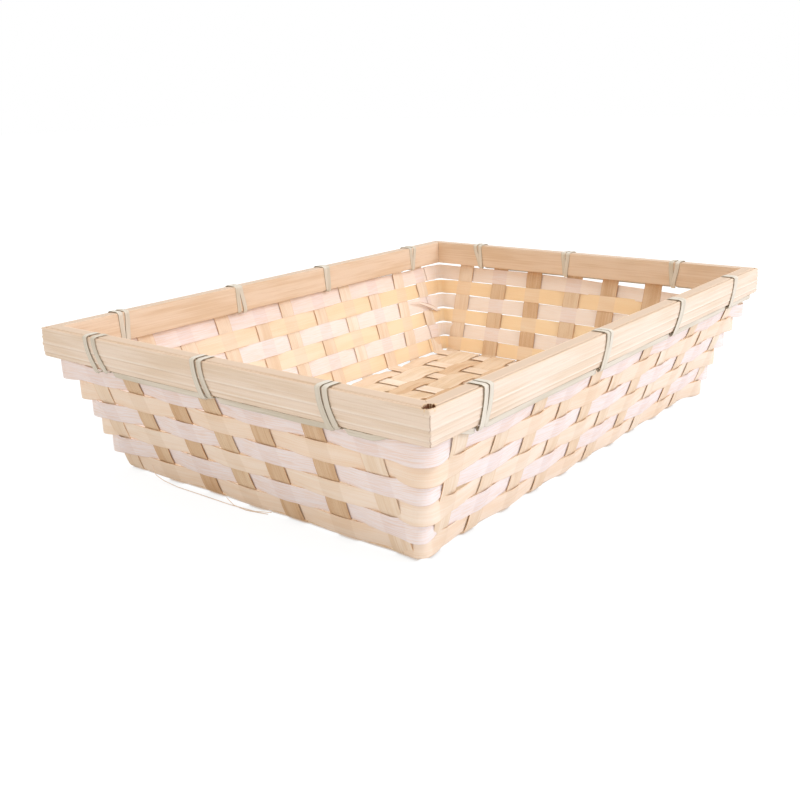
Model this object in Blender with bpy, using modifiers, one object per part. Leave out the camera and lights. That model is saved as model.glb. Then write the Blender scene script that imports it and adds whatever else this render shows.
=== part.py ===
"""Rectangular splint-bamboo basket, modelled strip by strip.

Eleven cross stakes and seven long stakes turn up at the edge of the base and
stand in the walls. In the base the long stakes, with a filler strip between
each two, run over and under the cross stakes. In the walls six weaver hoops
run over and under the stakes, whose ends are gripped between two slat hoops,
the rim. One ribbon lashes the rim with two turns at each tie.

The basket's length runs along X and its width along Y. The origin is on the
surface that it stands on, below its middle.
"""
import math
from typing import Callable, NamedTuple

import bmesh
import bpy
from mathutils import Vector

# Rim, outside sizes of the outer hoop, in metres.
RIM_LENGTH = 0.400
RIM_WIDTH = 0.290
SLAT_HEIGHT = 0.018
OUTER_SLAT_THICKNESS = 0.0036
INNER_SLAT_THICKNESS = 0.0050
SLAT_EDGE_CHAMFER = 0.0005
CORNER_NOTCH = 0.0034

# Stakes: the strips of the base, whose ends stand in the walls.
CROSS_STAKES = 11
LONG_STAKES = 7
CROSS_STAKE_WIDTH = 0.0124
LONG_STAKE_WIDTH = 0.0140
STAKE_THICKNESS = 0.0008
STAKE_END_DROP = 0.0010
BASE_BEND_RADIUS = 0.0018

# Fillers: strips of the base alone, each as wide as its place between two long stakes.
FILLER_GAP = 0.0005

# Clear way from the last stake's edge to the corner, at the rim and at the foot of the wall.
CROSS_CORNER_GAP_RIM = 0.0252
CROSS_CORNER_GAP_FOOT = 0.0050
LONG_CORNER_GAP_RIM = 0.0292
LONG_CORNER_GAP_FOOT = 0.0030

# How far each stake stands out of line where the hand left it, in shares of its width,
# at its foot and at the rim of its near end, at -Y or at -X, and of its far end.
CROSS_FOOT_SHARES = (0.1, 0.0, 0.2, 0.2, 0.2, -0.1, 0.0, 0.0, 0.1, -0.1, 0.1)
CROSS_NEAR_RIM_SHARES = (-0.5, 0.2, 0.1, 0.0, -0.3, -0.4, -0.3, -0.3, 0.1, -0.4, -0.3)
CROSS_FAR_RIM_SHARES = (0.0, 0.2, 0.0, 0.2, 0.4, 0.0, 0.1, 0.1, 0.1, 0.4, 0.0)
LONG_FOOT_SHARES = (0.0, 0.1, 0.1, 0.0, -0.3, -0.2, 0.0)
LONG_NEAR_RIM_SHARES = (0.1, 0.0, 0.0, -0.4, -0.4, 0.0, -0.1)
LONG_FAR_RIM_SHARES = (-0.2, -0.2, -0.3, -0.1, -0.3, -0.2, 0.0)

# Weavers: the hoops that the walls are woven from.
WEAVER_ROWS = 6
WEAVER_WIDTH = 0.0120
WEAVER_THICKNESS = 0.0007
WALL_INSET = 0.0250
CORNER_RADIUS = 0.0110

# Lashing ribbon.
RIBBON_WIDTH = 0.0038
RIBBON_THICKNESS = 0.0005
TURN_GAP = 0.0006
TIE_LEAN = 0.0040
RIBBON_RAMP = 0.0050

# Spacing that every strip keeps to what it touches, and how far it lies level past it.
CLEARANCE = 0.0003
LAP = 0.0010

BEND_STEPS = 3
CORNER_STEPS = 6

# Ties on each side, in the order of travel: the stake that a tie follows, counted along
# the side, and the share of the free way to the next stake that it stands off.
FAR_LONG_TIE_SHARES = ((1, 0.95), (4, 0.95), (7, 0.4), (10, 0.6))
NEAR_SHORT_TIE_SHARES = ((1, 0.95), (4, 0.05), (6, 0.7))
NEAR_LONG_TIE_SHARES = ((1, 0.05), (4, 0.3), (7, 0.4), (10, 0.9))
FAR_SHORT_TIE_SHARES = ((1, 0.9), (4, 0.1), (6, 0.95))

# Lean of the walls, and the levels that follow from it.
ROW_PITCH = WEAVER_WIDTH + CLEARANCE
STAKE_TO_WEAVER = STAKE_THICKNESS / 2 + CLEARANCE + WEAVER_THICKNESS / 2
WEAVER_REACH = STAKE_TO_WEAVER + WEAVER_THICKNESS / 2
RIBBON_SLOT = RIBBON_THICKNESS + 2 * CLEARANCE + WEAVER_REACH / 2
SLANT = RIBBON_SLOT + WEAVER_ROWS * ROW_PITCH
LEAN = math.asin(WALL_INSET / SLANT)
UPTURN = math.pi / 2 - LEAN
STAKE_INSET = OUTER_SLAT_THICKNESS + CLEARANCE + STAKE_THICKNESS / 2
BASE_STEP = STAKE_THICKNESS + CLEARANCE
BASE_LEVEL = BASE_STEP + STAKE_THICKNESS / 2
FOOT_LEVEL = BASE_LEVEL + BASE_BEND_RADIUS * (1 - math.cos(UPTURN))
RIM_LEVEL = FOOT_LEVEL + SLANT * math.cos(LEAN)
TOP_LEVEL = RIM_LEVEL + SLAT_HEIGHT
RIM_DEPTH = OUTER_SLAT_THICKNESS + 2 * CLEARANCE + STAKE_THICKNESS + INNER_SLAT_THICKNESS
RIBBON_STANDOFF = CLEARANCE + RIBBON_THICKNESS / 2
TURN_PITCH = RIBBON_WIDTH + TURN_GAP
RIBBON_BEND = RIBBON_WIDTH / 2 + CLEARANCE
RUN_INSET = STAKE_INSET - WEAVER_REACH - RIBBON_STANDOFF
RUN_DROP = RIBBON_BEND + 2 * RIBBON_STANDOFF

UP = Vector((0, 0, 1))
X_AXIS = Vector((1, 0, 0))
Y_AXIS = Vector((0, 1, 0))


class StakeRow(NamedTuple):
    """Stakes that stand side by side, and the clear way that they leave to the corners."""
    count: int
    width: float
    rim_size: float
    rim_gap: float
    foot_gap: float


CROSS_ROW = StakeRow(CROSS_STAKES, CROSS_STAKE_WIDTH, RIM_LENGTH, CROSS_CORNER_GAP_RIM,
                     CROSS_CORNER_GAP_FOOT)
LONG_ROW = StakeRow(LONG_STAKES, LONG_STAKE_WIDTH, RIM_WIDTH, LONG_CORNER_GAP_RIM,
                    LONG_CORNER_GAP_FOOT)


def clear_scene():
    """Remove the scene's objects."""
    for old in list(bpy.data.objects):
        bpy.data.objects.remove(old, do_unlink=True)


def make_collection(name):
    """Return a new collection, linked to the scene."""
    collection = bpy.data.collections.new(name)
    bpy.context.scene.collection.children.link(collection)
    return collection


def make_material(name, colour, roughness):
    """Return a Principled material. The colour is linear RGB."""
    material = bpy.data.materials.new(name)
    material.use_nodes = True
    shader = material.node_tree.nodes["Principled BSDF"]
    shader.inputs["Base Color"].default_value = (*colour, 1)
    shader.inputs["Roughness"].default_value = roughness
    shader.inputs["Metallic"].default_value = 0
    material.diffuse_color = (*colour, 1)
    return material


def make_object(name, bm, material, collection):
    """Turn a bmesh into a flat-shaded object in the collection."""
    bmesh.ops.recalc_face_normals(bm, faces=bm.faces)
    mesh = bpy.data.meshes.new(name)
    bm.to_mesh(mesh)
    bm.free()
    if material is not None:
        mesh.materials.append(material)
    made = bpy.data.objects.new(name, mesh)
    collection.objects.link(made)
    return made


def strip(name, stations, width, thickness, material, collection, closed=False):
    """Loft a flat strip through its stations.

    A station is (centre, across, through): the middle of the section, the unit
    vector along its width and the unit vector along its thickness.
    """
    bm = bmesh.new()
    rings = []
    for centre, across, through in stations:
        side = across * (width / 2)
        skin = through * (thickness / 2)
        corners = (centre - side - skin, centre + side - skin,
                   centre + side + skin, centre - side + skin)
        rings.append([bm.verts.new(corner) for corner in corners])
    pairs = list(zip(rings, rings[1:]))
    if closed:
        pairs.append((rings[-1], rings[0]))
    else:
        bm.faces.new(rings[0])
        bm.faces.new(reversed(rings[-1]))
    for ring, following in pairs:
        for k in range(4):
            after = (k + 1) % 4
            bm.faces.new((ring[k], following[k], following[after], ring[after]))
    return make_object(name, bm, material, collection)


def mix(start, end, share):
    """Return the value at a share of the way from start to end."""
    return start + (end - start) * share


def foot_half(rim_size):
    """Half the distance between two walls' mid-planes, at the foot of the walls."""
    return rim_size / 2 - STAKE_INSET - WALL_INSET


def stake_place(row, index, level, foot_shares, rim_shares):
    """Place of a stake along its side of the basket.

    Args: row is the StakeRow, index counts from 1, and level runs from 0 in the
    base and at the foot of the wall to 1 at the rim.
    """
    rim_reach = row.rim_size / 2 - STAKE_INSET - row.rim_gap - row.width / 2
    foot_reach = foot_half(row.rim_size) - row.foot_gap - row.width / 2
    along = 2 * (index - 1) / (row.count - 1) - 1
    shift = mix(foot_shares[index - 1], rim_shares[index - 1], level)
    return along * mix(foot_reach, rim_reach, level) + shift * row.width


def cross_x(index, level, near):
    """X of a cross stake, numbered from the -X end, at its near or far end."""
    rim_shares = CROSS_NEAR_RIM_SHARES if near else CROSS_FAR_RIM_SHARES
    return stake_place(CROSS_ROW, index, level, CROSS_FOOT_SHARES, rim_shares)


def long_y(index, level, near):
    """Y of a long stake, numbered from the +Y side, at its near or far end."""
    rim_shares = LONG_NEAR_RIM_SHARES if near else LONG_FAR_RIM_SHARES
    return -stake_place(LONG_ROW, index, level, LONG_FOOT_SHARES, rim_shares)


def base_y(index):
    """Y of a long stake in the base."""
    return long_y(index, 0, True)


def standing_end(rim_size):
    """Profile of a stake's end from its tip down to the base.

    Returns (reach, height, slope angle, level) for each station. The angle is 0
    in the flat base and a right angle in the upright stretch between the slats.
    """
    rim_reach = rim_size / 2 - STAKE_INSET
    flat_reach = foot_half(rim_size) - BASE_BEND_RADIUS * math.sin(UPTURN)
    profile = [(rim_reach, TOP_LEVEL - STAKE_END_DROP, math.pi / 2, 1),
               (rim_reach, RIM_LEVEL, (math.pi / 2 + UPTURN) / 2, 1)]
    for step in range(BEND_STEPS, -1, -1):
        angle = UPTURN * step / BEND_STEPS
        reach = flat_reach + BASE_BEND_RADIUS * math.sin(angle)
        height = BASE_LEVEL + BASE_BEND_RADIUS * (1 - math.cos(angle))
        profile.append((reach, height, angle, 0))
    return profile


def end_stations(rim_size, run, across, place):
    """Stations of one standing end. run is the unit vector out to that end."""
    stations = []
    for reach, height, angle, level in standing_end(rim_size):
        centre = run * reach + UP * height + across * place(level)
        through = run * math.sin(angle) - UP * math.cos(angle)
        stations.append((centre, across, through))
    return stations


def cross_stake(index, material, collection):
    """A strip across the basket, level in the base between the long strips."""
    stations = end_stations(RIM_WIDTH, -Y_AXIS, X_AXIS, lambda level: cross_x(index, level, True))
    far_end = end_stations(RIM_WIDTH, Y_AXIS, X_AXIS, lambda level: cross_x(index, level, False))
    stations.extend(reversed(far_end))
    name = f"cross_stake_{index:02d}"
    return strip(name, stations, CROSS_STAKE_WIDTH, STAKE_THICKNESS, material, collection)


def base_course(y, over_phase):
    """Stations of a strip of the base from -X to +X, over and under the cross stakes.

    The strip passes over the cross stakes whose number has the parity over_phase.
    """
    stations = []
    level_past = CROSS_STAKE_WIDTH / 2 + LAP
    for crossed in range(1, CROSS_STAKES + 1):
        x = cross_x(crossed, 0, True)
        step = BASE_STEP if crossed % 2 == over_phase else -BASE_STEP
        for edge in (x - level_past, x + level_past):
            stations.append((Vector((edge, y, BASE_LEVEL + step)), Y_AXIS, -UP))
    return stations


def long_stake(index, material, collection):
    """A strip along the basket, woven through the cross stakes in the base."""
    stations = end_stations(RIM_LENGTH, -X_AXIS, Y_AXIS, lambda level: long_y(index, level, True))
    stations.extend(base_course(base_y(index), 0))
    far_end = end_stations(RIM_LENGTH, X_AXIS, Y_AXIS, lambda level: long_y(index, level, False))
    stations.extend(reversed(far_end))
    return strip(f"long_stake_{index}", stations, LONG_STAKE_WIDTH, STAKE_THICKNESS, material,
                 collection)


def base_filler(index, material, collection):
    """A strip that fills the base between two long stakes and ends at its edge."""
    y = (base_y(index) + base_y(index + 1)) / 2
    room = base_y(index) - base_y(index + 1) - LONG_STAKE_WIDTH
    reach = foot_half(RIM_LENGTH) - BASE_BEND_RADIUS
    near_end, far_end = [(Vector((x, y, BASE_LEVEL)), Y_AXIS, -UP) for x in (-reach, reach)]
    stations = [near_end, *base_course(y, 1), far_end]
    return strip(f"base_filler_{index}", stations, room - 2 * FILLER_GAP, STAKE_THICKNESS,
                 material, collection)


class Side(NamedTuple):
    """One side of the basket, travelled anticlockwise seen from above.

    wall is half the rim's size across the side and end half its size along it.
    places(level) lists (stake number, place) in the order of travel, and phase
    is the parity of row and stake number where the weaver passes outside.
    """
    along: Vector
    outward: Vector
    wall: float
    end: float
    stake_width: float
    places: Callable
    phase: int
    ties: tuple
    lean_sign: int


def sides():
    """The four sides in the order of travel, from the far long side round."""
    def far_long(level):
        return [(index, -cross_x(index, level, False)) for index in range(CROSS_STAKES, 0, -1)]

    def near_short(level):
        return [(index, -long_y(index, level, True)) for index in range(1, LONG_STAKES + 1)]

    def near_long(level):
        return [(index, cross_x(index, level, True)) for index in range(1, CROSS_STAKES + 1)]

    def far_short(level):
        return [(index, long_y(index, level, False)) for index in range(LONG_STAKES, 0, -1)]

    half_x = RIM_LENGTH / 2
    half_y = RIM_WIDTH / 2
    cross = CROSS_STAKE_WIDTH
    long = LONG_STAKE_WIDTH
    return [Side(-X_AXIS, Y_AXIS, half_y, half_x, cross, far_long, 1, FAR_LONG_TIE_SHARES, 1),
            Side(-Y_AXIS, -X_AXIS, half_x, half_y, long, near_short, 0, NEAR_SHORT_TIE_SHARES, -1),
            Side(X_AXIS, -Y_AXIS, half_y, half_x, cross, near_long, 1, NEAR_LONG_TIE_SHARES, 1),
            Side(Y_AXIS, X_AXIS, half_x, half_y, long, far_short, 0, FAR_SHORT_TIE_SHARES, -1)]


def row_depth(row):
    """Distance down the wall from the rim to the middle of a weaver row."""
    return RIBBON_SLOT + (row - 1) * ROW_PITCH + WEAVER_WIDTH / 2


def weaver_section(centre, outward, step):
    """Station of a weaver, tilted with the wall and a step out from its mid-plane."""
    across = outward * math.sin(LEAN) + UP * math.cos(LEAN)
    through = outward * math.cos(LEAN) - UP * math.sin(LEAN)
    return centre + through * step, across, through


def weaver_course(side, row):
    """Level stretches of a weaver along one side, as (place, step outward) pairs."""
    middle = 1 - row_depth(row) / SLANT
    half_row = WEAVER_WIDTH / 2 / SLANT
    course = []
    for (index, low), (_, high) in zip(side.places(middle - half_row),
                                       side.places(middle + half_row)):
        outside = (index + row) % 2 == side.phase
        step = STAKE_TO_WEAVER if outside else -STAKE_TO_WEAVER
        course.append((min(low, high) - side.stake_width / 2 - LAP, step))
        course.append((max(low, high) + side.stake_width / 2 + LAP, step))
    return course


def row_inset(row):
    """Distance in from the outside of the rim to the middle of a weaver row."""
    return STAKE_INSET + row_depth(row) * math.sin(LEAN)


def row_radius(row):
    """Corner radius of a row, limited by the stakes next to the corners."""
    clear = []
    for side in sides():
        course = weaver_course(side, row)
        clear.append(side.end - row_inset(row) - max(-course[0][0], course[-1][0]))
    return min(CORNER_RADIUS, min(clear) - LAP)


def weaver(row, material, collection):
    """A hoop that passes outside one stake and inside the next."""
    inset = row_inset(row)
    height = RIM_LEVEL - row_depth(row) * math.cos(LEAN)
    radius = row_radius(row)
    around = sides()
    courses = [weaver_course(side, row) for side in around]
    stations = []
    for number, (side, course) in enumerate(zip(around, courses)):
        wall = side.wall - inset
        for place, step in course:
            centre = side.along * place + side.outward * wall + UP * height
            stations.append(weaver_section(centre, side.outward, step))
        last_step = course[-1][1]
        next_step = courses[(number + 1) % len(courses)][0][1]
        hub = (side.along * (side.end - inset - radius) + side.outward * (wall - radius)
               + UP * height)
        for corner_step in range(CORNER_STEPS + 1):
            share = corner_step / CORNER_STEPS
            angle = math.pi / 2 * share
            radial = side.outward * math.cos(angle) + side.along * math.sin(angle)
            step = mix(last_step, next_step, share)
            stations.append(weaver_section(hub + radial * radius, radial, step))
    return strip(f"weaver_row_{row}", stations, WEAVER_WIDTH, WEAVER_THICKNESS, material,
                 collection, closed=True)


def upright_box(name, length, width, height, centre_height, corner_cut, collection):
    """A box whose upright edges can be cut off by corner_cut."""
    bm = bmesh.new()
    bmesh.ops.create_cube(bm, size=1)
    bmesh.ops.scale(bm, vec=Vector((length, width, height)), verts=bm.verts)
    bmesh.ops.translate(bm, vec=UP * centre_height, verts=bm.verts)
    if corner_cut > 0:
        upright = []
        for edge in bm.edges:
            run = edge.verts[0].co - edge.verts[1].co
            if abs(run.normalized().z) > abs(run.normalized().x) + abs(run.normalized().y):
                upright.append(edge)
        bmesh.ops.bevel(bm, geom=upright, offset=corner_cut, segments=1, affect="EDGES")
    return make_object(name, bm, None, collection)


def slat_hoop(name, inset, thickness, corner_cut, material, collection, cutters):
    """A slat bent into a rectangular hoop, inset from the outside of the rim."""
    middle = (RIM_LEVEL + TOP_LEVEL) / 2
    length = RIM_LENGTH - 2 * inset
    width = RIM_WIDTH - 2 * inset
    hoop = upright_box(name, length, width, SLAT_HEIGHT, middle, corner_cut, collection)
    hoop.data.materials.append(material)
    opening = upright_box(name + "_opening", length - 2 * thickness, width - 2 * thickness,
                          2 * SLAT_HEIGHT, middle, 0, cutters)
    opening.hide_render = True
    opening.display_type = "WIRE"
    cut = hoop.modifiers.new("opening", "BOOLEAN")
    cut.operation = "DIFFERENCE"
    cut.solver = "EXACT"
    cut.object = opening
    edges = hoop.modifiers.new("rounded edges", "BEVEL")
    edges.width = SLAT_EDGE_CHAMFER
    edges.segments = 1
    edges.limit_method = "ANGLE"
    return hoop


class RibbonPath:
    """Stations of the ribbon as it travels round the rim.

    Places are (u, out, up): along the side, outward from the outer slat's face
    and up from the slats' lower edge. Each tie leaves the ribbon's other face
    outward, so facing changes sign from one tie to the next.
    """

    def __init__(self):
        self.stations = []
        self.facing = 1
        self.side = None

    def add(self, u, out, up, across, through):
        """Add a station. across and through are in the side's own axes."""
        side = self.side
        centre = side.along * u + side.outward * (side.wall + out) + UP * (RIM_LEVEL + up)
        self.stations.append((centre, self.turned(across), self.turned(through)))

    def turned(self, vector):
        """Turn a unit vector from the side's own axes into the basket's."""
        u, out, up = vector
        return self.facing * (self.side.along * u + self.side.outward * out + UP * up)

    def run(self, u):
        """Lie flat against the weave, under the outer slat."""
        self.add(u, -RUN_INSET, -RUN_DROP, (0, 0, 1), (0, 1, 0))

    def climb(self, start):
        """Leave the run, step outward and turn up the outer slat's face."""
        self.run(start - RIBBON_BEND - RIBBON_RAMP)
        for angle in (0, math.pi / 4, math.pi / 2):
            u = start - RIBBON_BEND * (1 - math.sin(angle))
            up = -RUN_DROP + RIBBON_BEND * (1 - math.cos(angle))
            across = (-math.sin(angle), 0, math.cos(angle))
            self.add(u, RIBBON_STANDOFF, up, across, (0, 1, 0))

    def round_edge(self, u, edge_out, edge_up, quarter):
        """Bend round one long edge of the rim. Quarter 0 is from the face to the top."""
        for angle in (math.pi / 2 * quarter, math.pi / 2 * (quarter + 1)):
            out = edge_out + RIBBON_STANDOFF * math.cos(angle)
            up = edge_up + RIBBON_STANDOFF * math.sin(angle)
            self.add(u, out, up, (-1, 0, 0), (0, math.cos(angle), math.sin(angle)))

    def over(self, start, lean):
        """Pass over the top, down the inside and through the weave under the rim."""
        self.round_edge(start + lean, 0, SLAT_HEIGHT, 0)
        self.round_edge(start + lean, -RIM_DEPTH, SLAT_HEIGHT, 1)
        self.round_edge(start, -RIM_DEPTH, 0, 2)

    def leave(self, start):
        """Come out through the weave, fold down and turn into the next run."""
        fold = RIBBON_STANDOFF
        self.add(start, -RUN_INSET - fold, -fold, (-1, 0, 0), (0, 0, -1))
        for angle in (0, math.pi / 4, math.pi / 2):
            u = start + RIBBON_BEND * (1 - math.cos(angle))
            up = -2 * fold - RIBBON_BEND * math.sin(angle)
            across = (-math.cos(angle), 0, -math.sin(angle))
            self.add(u, -RUN_INSET, up, across, (0, -1, 0))
        self.facing = -self.facing

    def corner(self, radius):
        """Follow the top weaver round the corner at the side's end."""
        hub_u = self.side.end - STAKE_INSET - radius
        hub_out = -STAKE_INSET - radius
        reach = radius + STAKE_INSET - RUN_INSET
        for step in range(CORNER_STEPS + 1):
            angle = math.pi / 2 * step / CORNER_STEPS
            self.add(hub_u + reach * math.sin(angle), hub_out + reach * math.cos(angle),
                     -RUN_DROP, (0, 0, 1), (math.sin(angle), math.cos(angle), 0))


def tie_starts(side):
    """Where the first turn of each tie stands, along one side."""
    stakes = [place for _, place in side.places(1)]
    starts = []
    for stake, share in side.ties:
        first = stakes[stake - 1] + side.stake_width / 2 + CLEARANCE
        last = stakes[stake] - side.stake_width / 2 - CLEARANCE
        free = last - first - 2 * TURN_PITCH - RIBBON_WIDTH
        starts.append(first + RIBBON_WIDTH / 2 + free * share)
    return starts


def lashing(material, collection):
    """The ribbon: a run under the outer slat with two turns over the rim at each tie."""
    path = RibbonPath()
    around = sides()
    for side in around:
        path.side = side
        lean = TIE_LEAN * side.lean_sign
        for start in tie_starts(side):
            path.climb(start)
            path.over(start, lean)
            path.round_edge(start + TURN_PITCH, 0, 0, 3)
            path.over(start + TURN_PITCH, lean)
            path.leave(start + 2 * TURN_PITCH)
        if side is not around[-1]:
            path.corner(row_radius(1))
    path.run(start + 2 * TURN_PITCH + RIBBON_BEND + RIBBON_RAMP)
    return strip("lashing_ribbon", path.stations, RIBBON_WIDTH, RIBBON_THICKNESS, material,
                 collection)


def main():
    """Build the basket."""
    clear_scene()
    basket = make_collection("bamboo_basket")
    cutters = make_collection("cutters")

    outer_bamboo = make_material("outer slat bamboo", (0.74, 0.58, 0.40), 0.45)
    inner_bamboo = make_material("inner slat bamboo", (0.66, 0.50, 0.33), 0.5)
    white_bamboo = make_material("whitewashed bamboo", (0.80, 0.70, 0.66), 0.7)
    natural_bamboo = make_material("natural bamboo", (0.84, 0.66, 0.45), 0.55)
    stake_bamboo = make_material("stake bamboo", (0.66, 0.47, 0.29), 0.6)
    filler_bamboo = make_material("filler bamboo", (0.72, 0.56, 0.36), 0.6)
    ribbon = make_material("grey ribbon", (0.60, 0.58, 0.48), 0.4)

    slat_hoop("outer_rim", 0, OUTER_SLAT_THICKNESS, 0, outer_bamboo, basket, cutters)
    inner_inset = RIM_DEPTH - INNER_SLAT_THICKNESS
    slat_hoop("inner_rim", inner_inset, INNER_SLAT_THICKNESS, CORNER_NOTCH, inner_bamboo,
              basket, cutters)
    for row in range(1, WEAVER_ROWS + 1):
        weaver(row, white_bamboo if row % 2 else natural_bamboo, basket)
    for index in range(1, CROSS_STAKES + 1):
        cross_stake(index, stake_bamboo, basket)
    for index in range(1, LONG_STAKES + 1):
        long_stake(index, stake_bamboo, basket)
    for index in range(1, LONG_STAKES):
        base_filler(index, filler_bamboo, basket)
    lashing(ribbon, basket)


main()
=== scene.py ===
"""Dresses the woven bamboo basket strip by strip and sets it in a white studio.

Every strip of the CAD part is made again with its smooth bends, uneven split
edges, fibres and colours. The basket's length runs along X, its width along Y.
"""
import logging
import math
from dataclasses import dataclass, field, replace
from enum import Enum
from functools import partial
from typing import Any, Sequence

import bpy
import numpy as np
from mathutils import Euler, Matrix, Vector, noise


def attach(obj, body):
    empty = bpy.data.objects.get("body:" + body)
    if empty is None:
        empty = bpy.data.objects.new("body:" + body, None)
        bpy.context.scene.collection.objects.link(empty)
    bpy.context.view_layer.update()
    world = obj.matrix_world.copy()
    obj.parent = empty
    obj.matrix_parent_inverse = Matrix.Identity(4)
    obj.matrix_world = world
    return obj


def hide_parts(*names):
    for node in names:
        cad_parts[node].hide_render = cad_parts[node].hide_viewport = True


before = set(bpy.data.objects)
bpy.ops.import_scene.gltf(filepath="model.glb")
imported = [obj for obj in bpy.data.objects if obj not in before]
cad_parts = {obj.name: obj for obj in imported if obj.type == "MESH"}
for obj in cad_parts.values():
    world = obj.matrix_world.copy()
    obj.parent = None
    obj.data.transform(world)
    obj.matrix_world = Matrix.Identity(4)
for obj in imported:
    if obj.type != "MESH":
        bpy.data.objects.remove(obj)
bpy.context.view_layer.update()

LOG = logging.getLogger("basket")
BODY = "root"
UP = Vector((0, 0, 1))
X_AXIS = Vector((1, 0, 0))
Y_AXIS = Vector((0, 1, 0))

# The nodes that the trees use most.
MATH = "ShaderNodeMath"
VECTOR_MATH = "ShaderNodeVectorMath"
RANGE = "ShaderNodeMapRange"
NOISE = "ShaderNodeTexNoise"
SPLIT = "ShaderNodeSeparateXYZ"
JOIN = "ShaderNodeCombineXYZ"
STORE = "GeometryNodeStoreNamedAttribute"
READ = "GeometryNodeInputNamedAttribute"
MOVE = "GeometryNodeSetPosition"
SHADE = "GeometryNodeSetShadeSmooth"
Socket = bpy.types.NodeSocket
Outputs = bpy.types.bpy_prop_collection


def linear(hex_colour: str) -> tuple[float, float, float, float]:
    """Turn an sRGB hex colour into linear RGBA.

    Args:
        hex_colour: six hex digits with a leading hash.

    Returns:
        The linear red, green and blue, with an alpha of 1.
    """
    channels = []
    for start in (1, 3, 5):
        value = int(hex_colour[start:start + 2], 16) / 255
        channels.append(value / 12.92 if value <= 0.04045 else ((value + 0.055) / 1.055) ** 2.4)
    return (*channels, 1.0)


def feed(node: bpy.types.Node, inputs: dict[Any, Any]) -> None:
    """Give a node its inputs.

    Args:
        node: the node.
        inputs: for each input, by name or number, a value or an output socket.
    """
    for key, value in inputs.items():
        if isinstance(value, Socket):
            node.id_data.links.new(value, node.inputs[key])
        else:
            node.inputs[key].default_value = value


def add_node(tree: bpy.types.NodeTree, kind: str, inputs: dict[Any, Any], pick: Any = 0,
             **settings: Any) -> Socket | None:
    """Add a node with its settings and links.

    Args:
        tree: the node tree that gets the node.
        kind: the node's type name.
        inputs: for each input, by name or number, a value or an output socket.
        pick: the name or number of the output that is wanted.
        settings: the node's own properties.

    Returns:
        That output socket, or None for a node without outputs.
    """
    node = tree.nodes.new(kind)
    for key, value in settings.items():
        setattr(node, key, value)
    feed(node, inputs)
    return node.outputs[pick] if node.outputs else None


def add_object(name: str, data: bpy.types.ID) -> bpy.types.Object:
    """Link a new object to the scene.

    Args:
        name: its name.
        data: its mesh, lamp or camera.

    Returns:
        The object.
    """
    made = bpy.data.objects.new(name, data)
    bpy.context.scene.collection.objects.link(made)
    return made


def store(mesh: bpy.types.Mesh, layers: dict[str, Sequence]) -> None:
    """Keep values on a mesh's points.

    Args:
        mesh: the mesh.
        layers: for each attribute a number or a vector for each point.
    """
    for title, values in layers.items():
        data = np.array([tuple(v) if isinstance(v, Vector) else v for v in values], dtype=float)
        kind, key = ("FLOAT_VECTOR", "vector") if data.ndim == 2 else ("FLOAT", "value")
        mesh.attributes.new(title, kind, "POINT").data.foreach_set(key, data.ravel())


def place_piece(piece: bpy.types.Object, slot: str, *nodes: str) -> None:
    """Tie a finished piece to the frame.

    Args:
        piece: the finished piece.
        slot: the record's material slot; not used.
        nodes: the CAD nodes that it stands for.
    """
    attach(piece, BODY)
    if nodes:
        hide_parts(*nodes)
    LOG.info("%s: %d faces", piece.name, len(piece.data.polygons))


def mix(start: float, end: float, share: float) -> float:
    """Return the value at a share of the way from start to end."""
    return start + (end - start) * share


def smooth(share: float) -> float:
    """Ease a share between 0 and 1 in and out."""
    share = min(max(share, 0.0), 1.0)
    return share * share * (3 - 2 * share)


@dataclass(frozen=True)
class StakeRow:
    """Stakes that stand side by side, and the clear way that they leave to the corners.

    The shares tell how far each stands out of line, in shares of its width.
    """
    count: int
    width: float
    rim_size: float
    rim_gap: float
    foot_gap: float
    foot_shares: tuple[float, ...]
    near_rim_shares: tuple[float, ...]
    far_rim_shares: tuple[float, ...]


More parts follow.
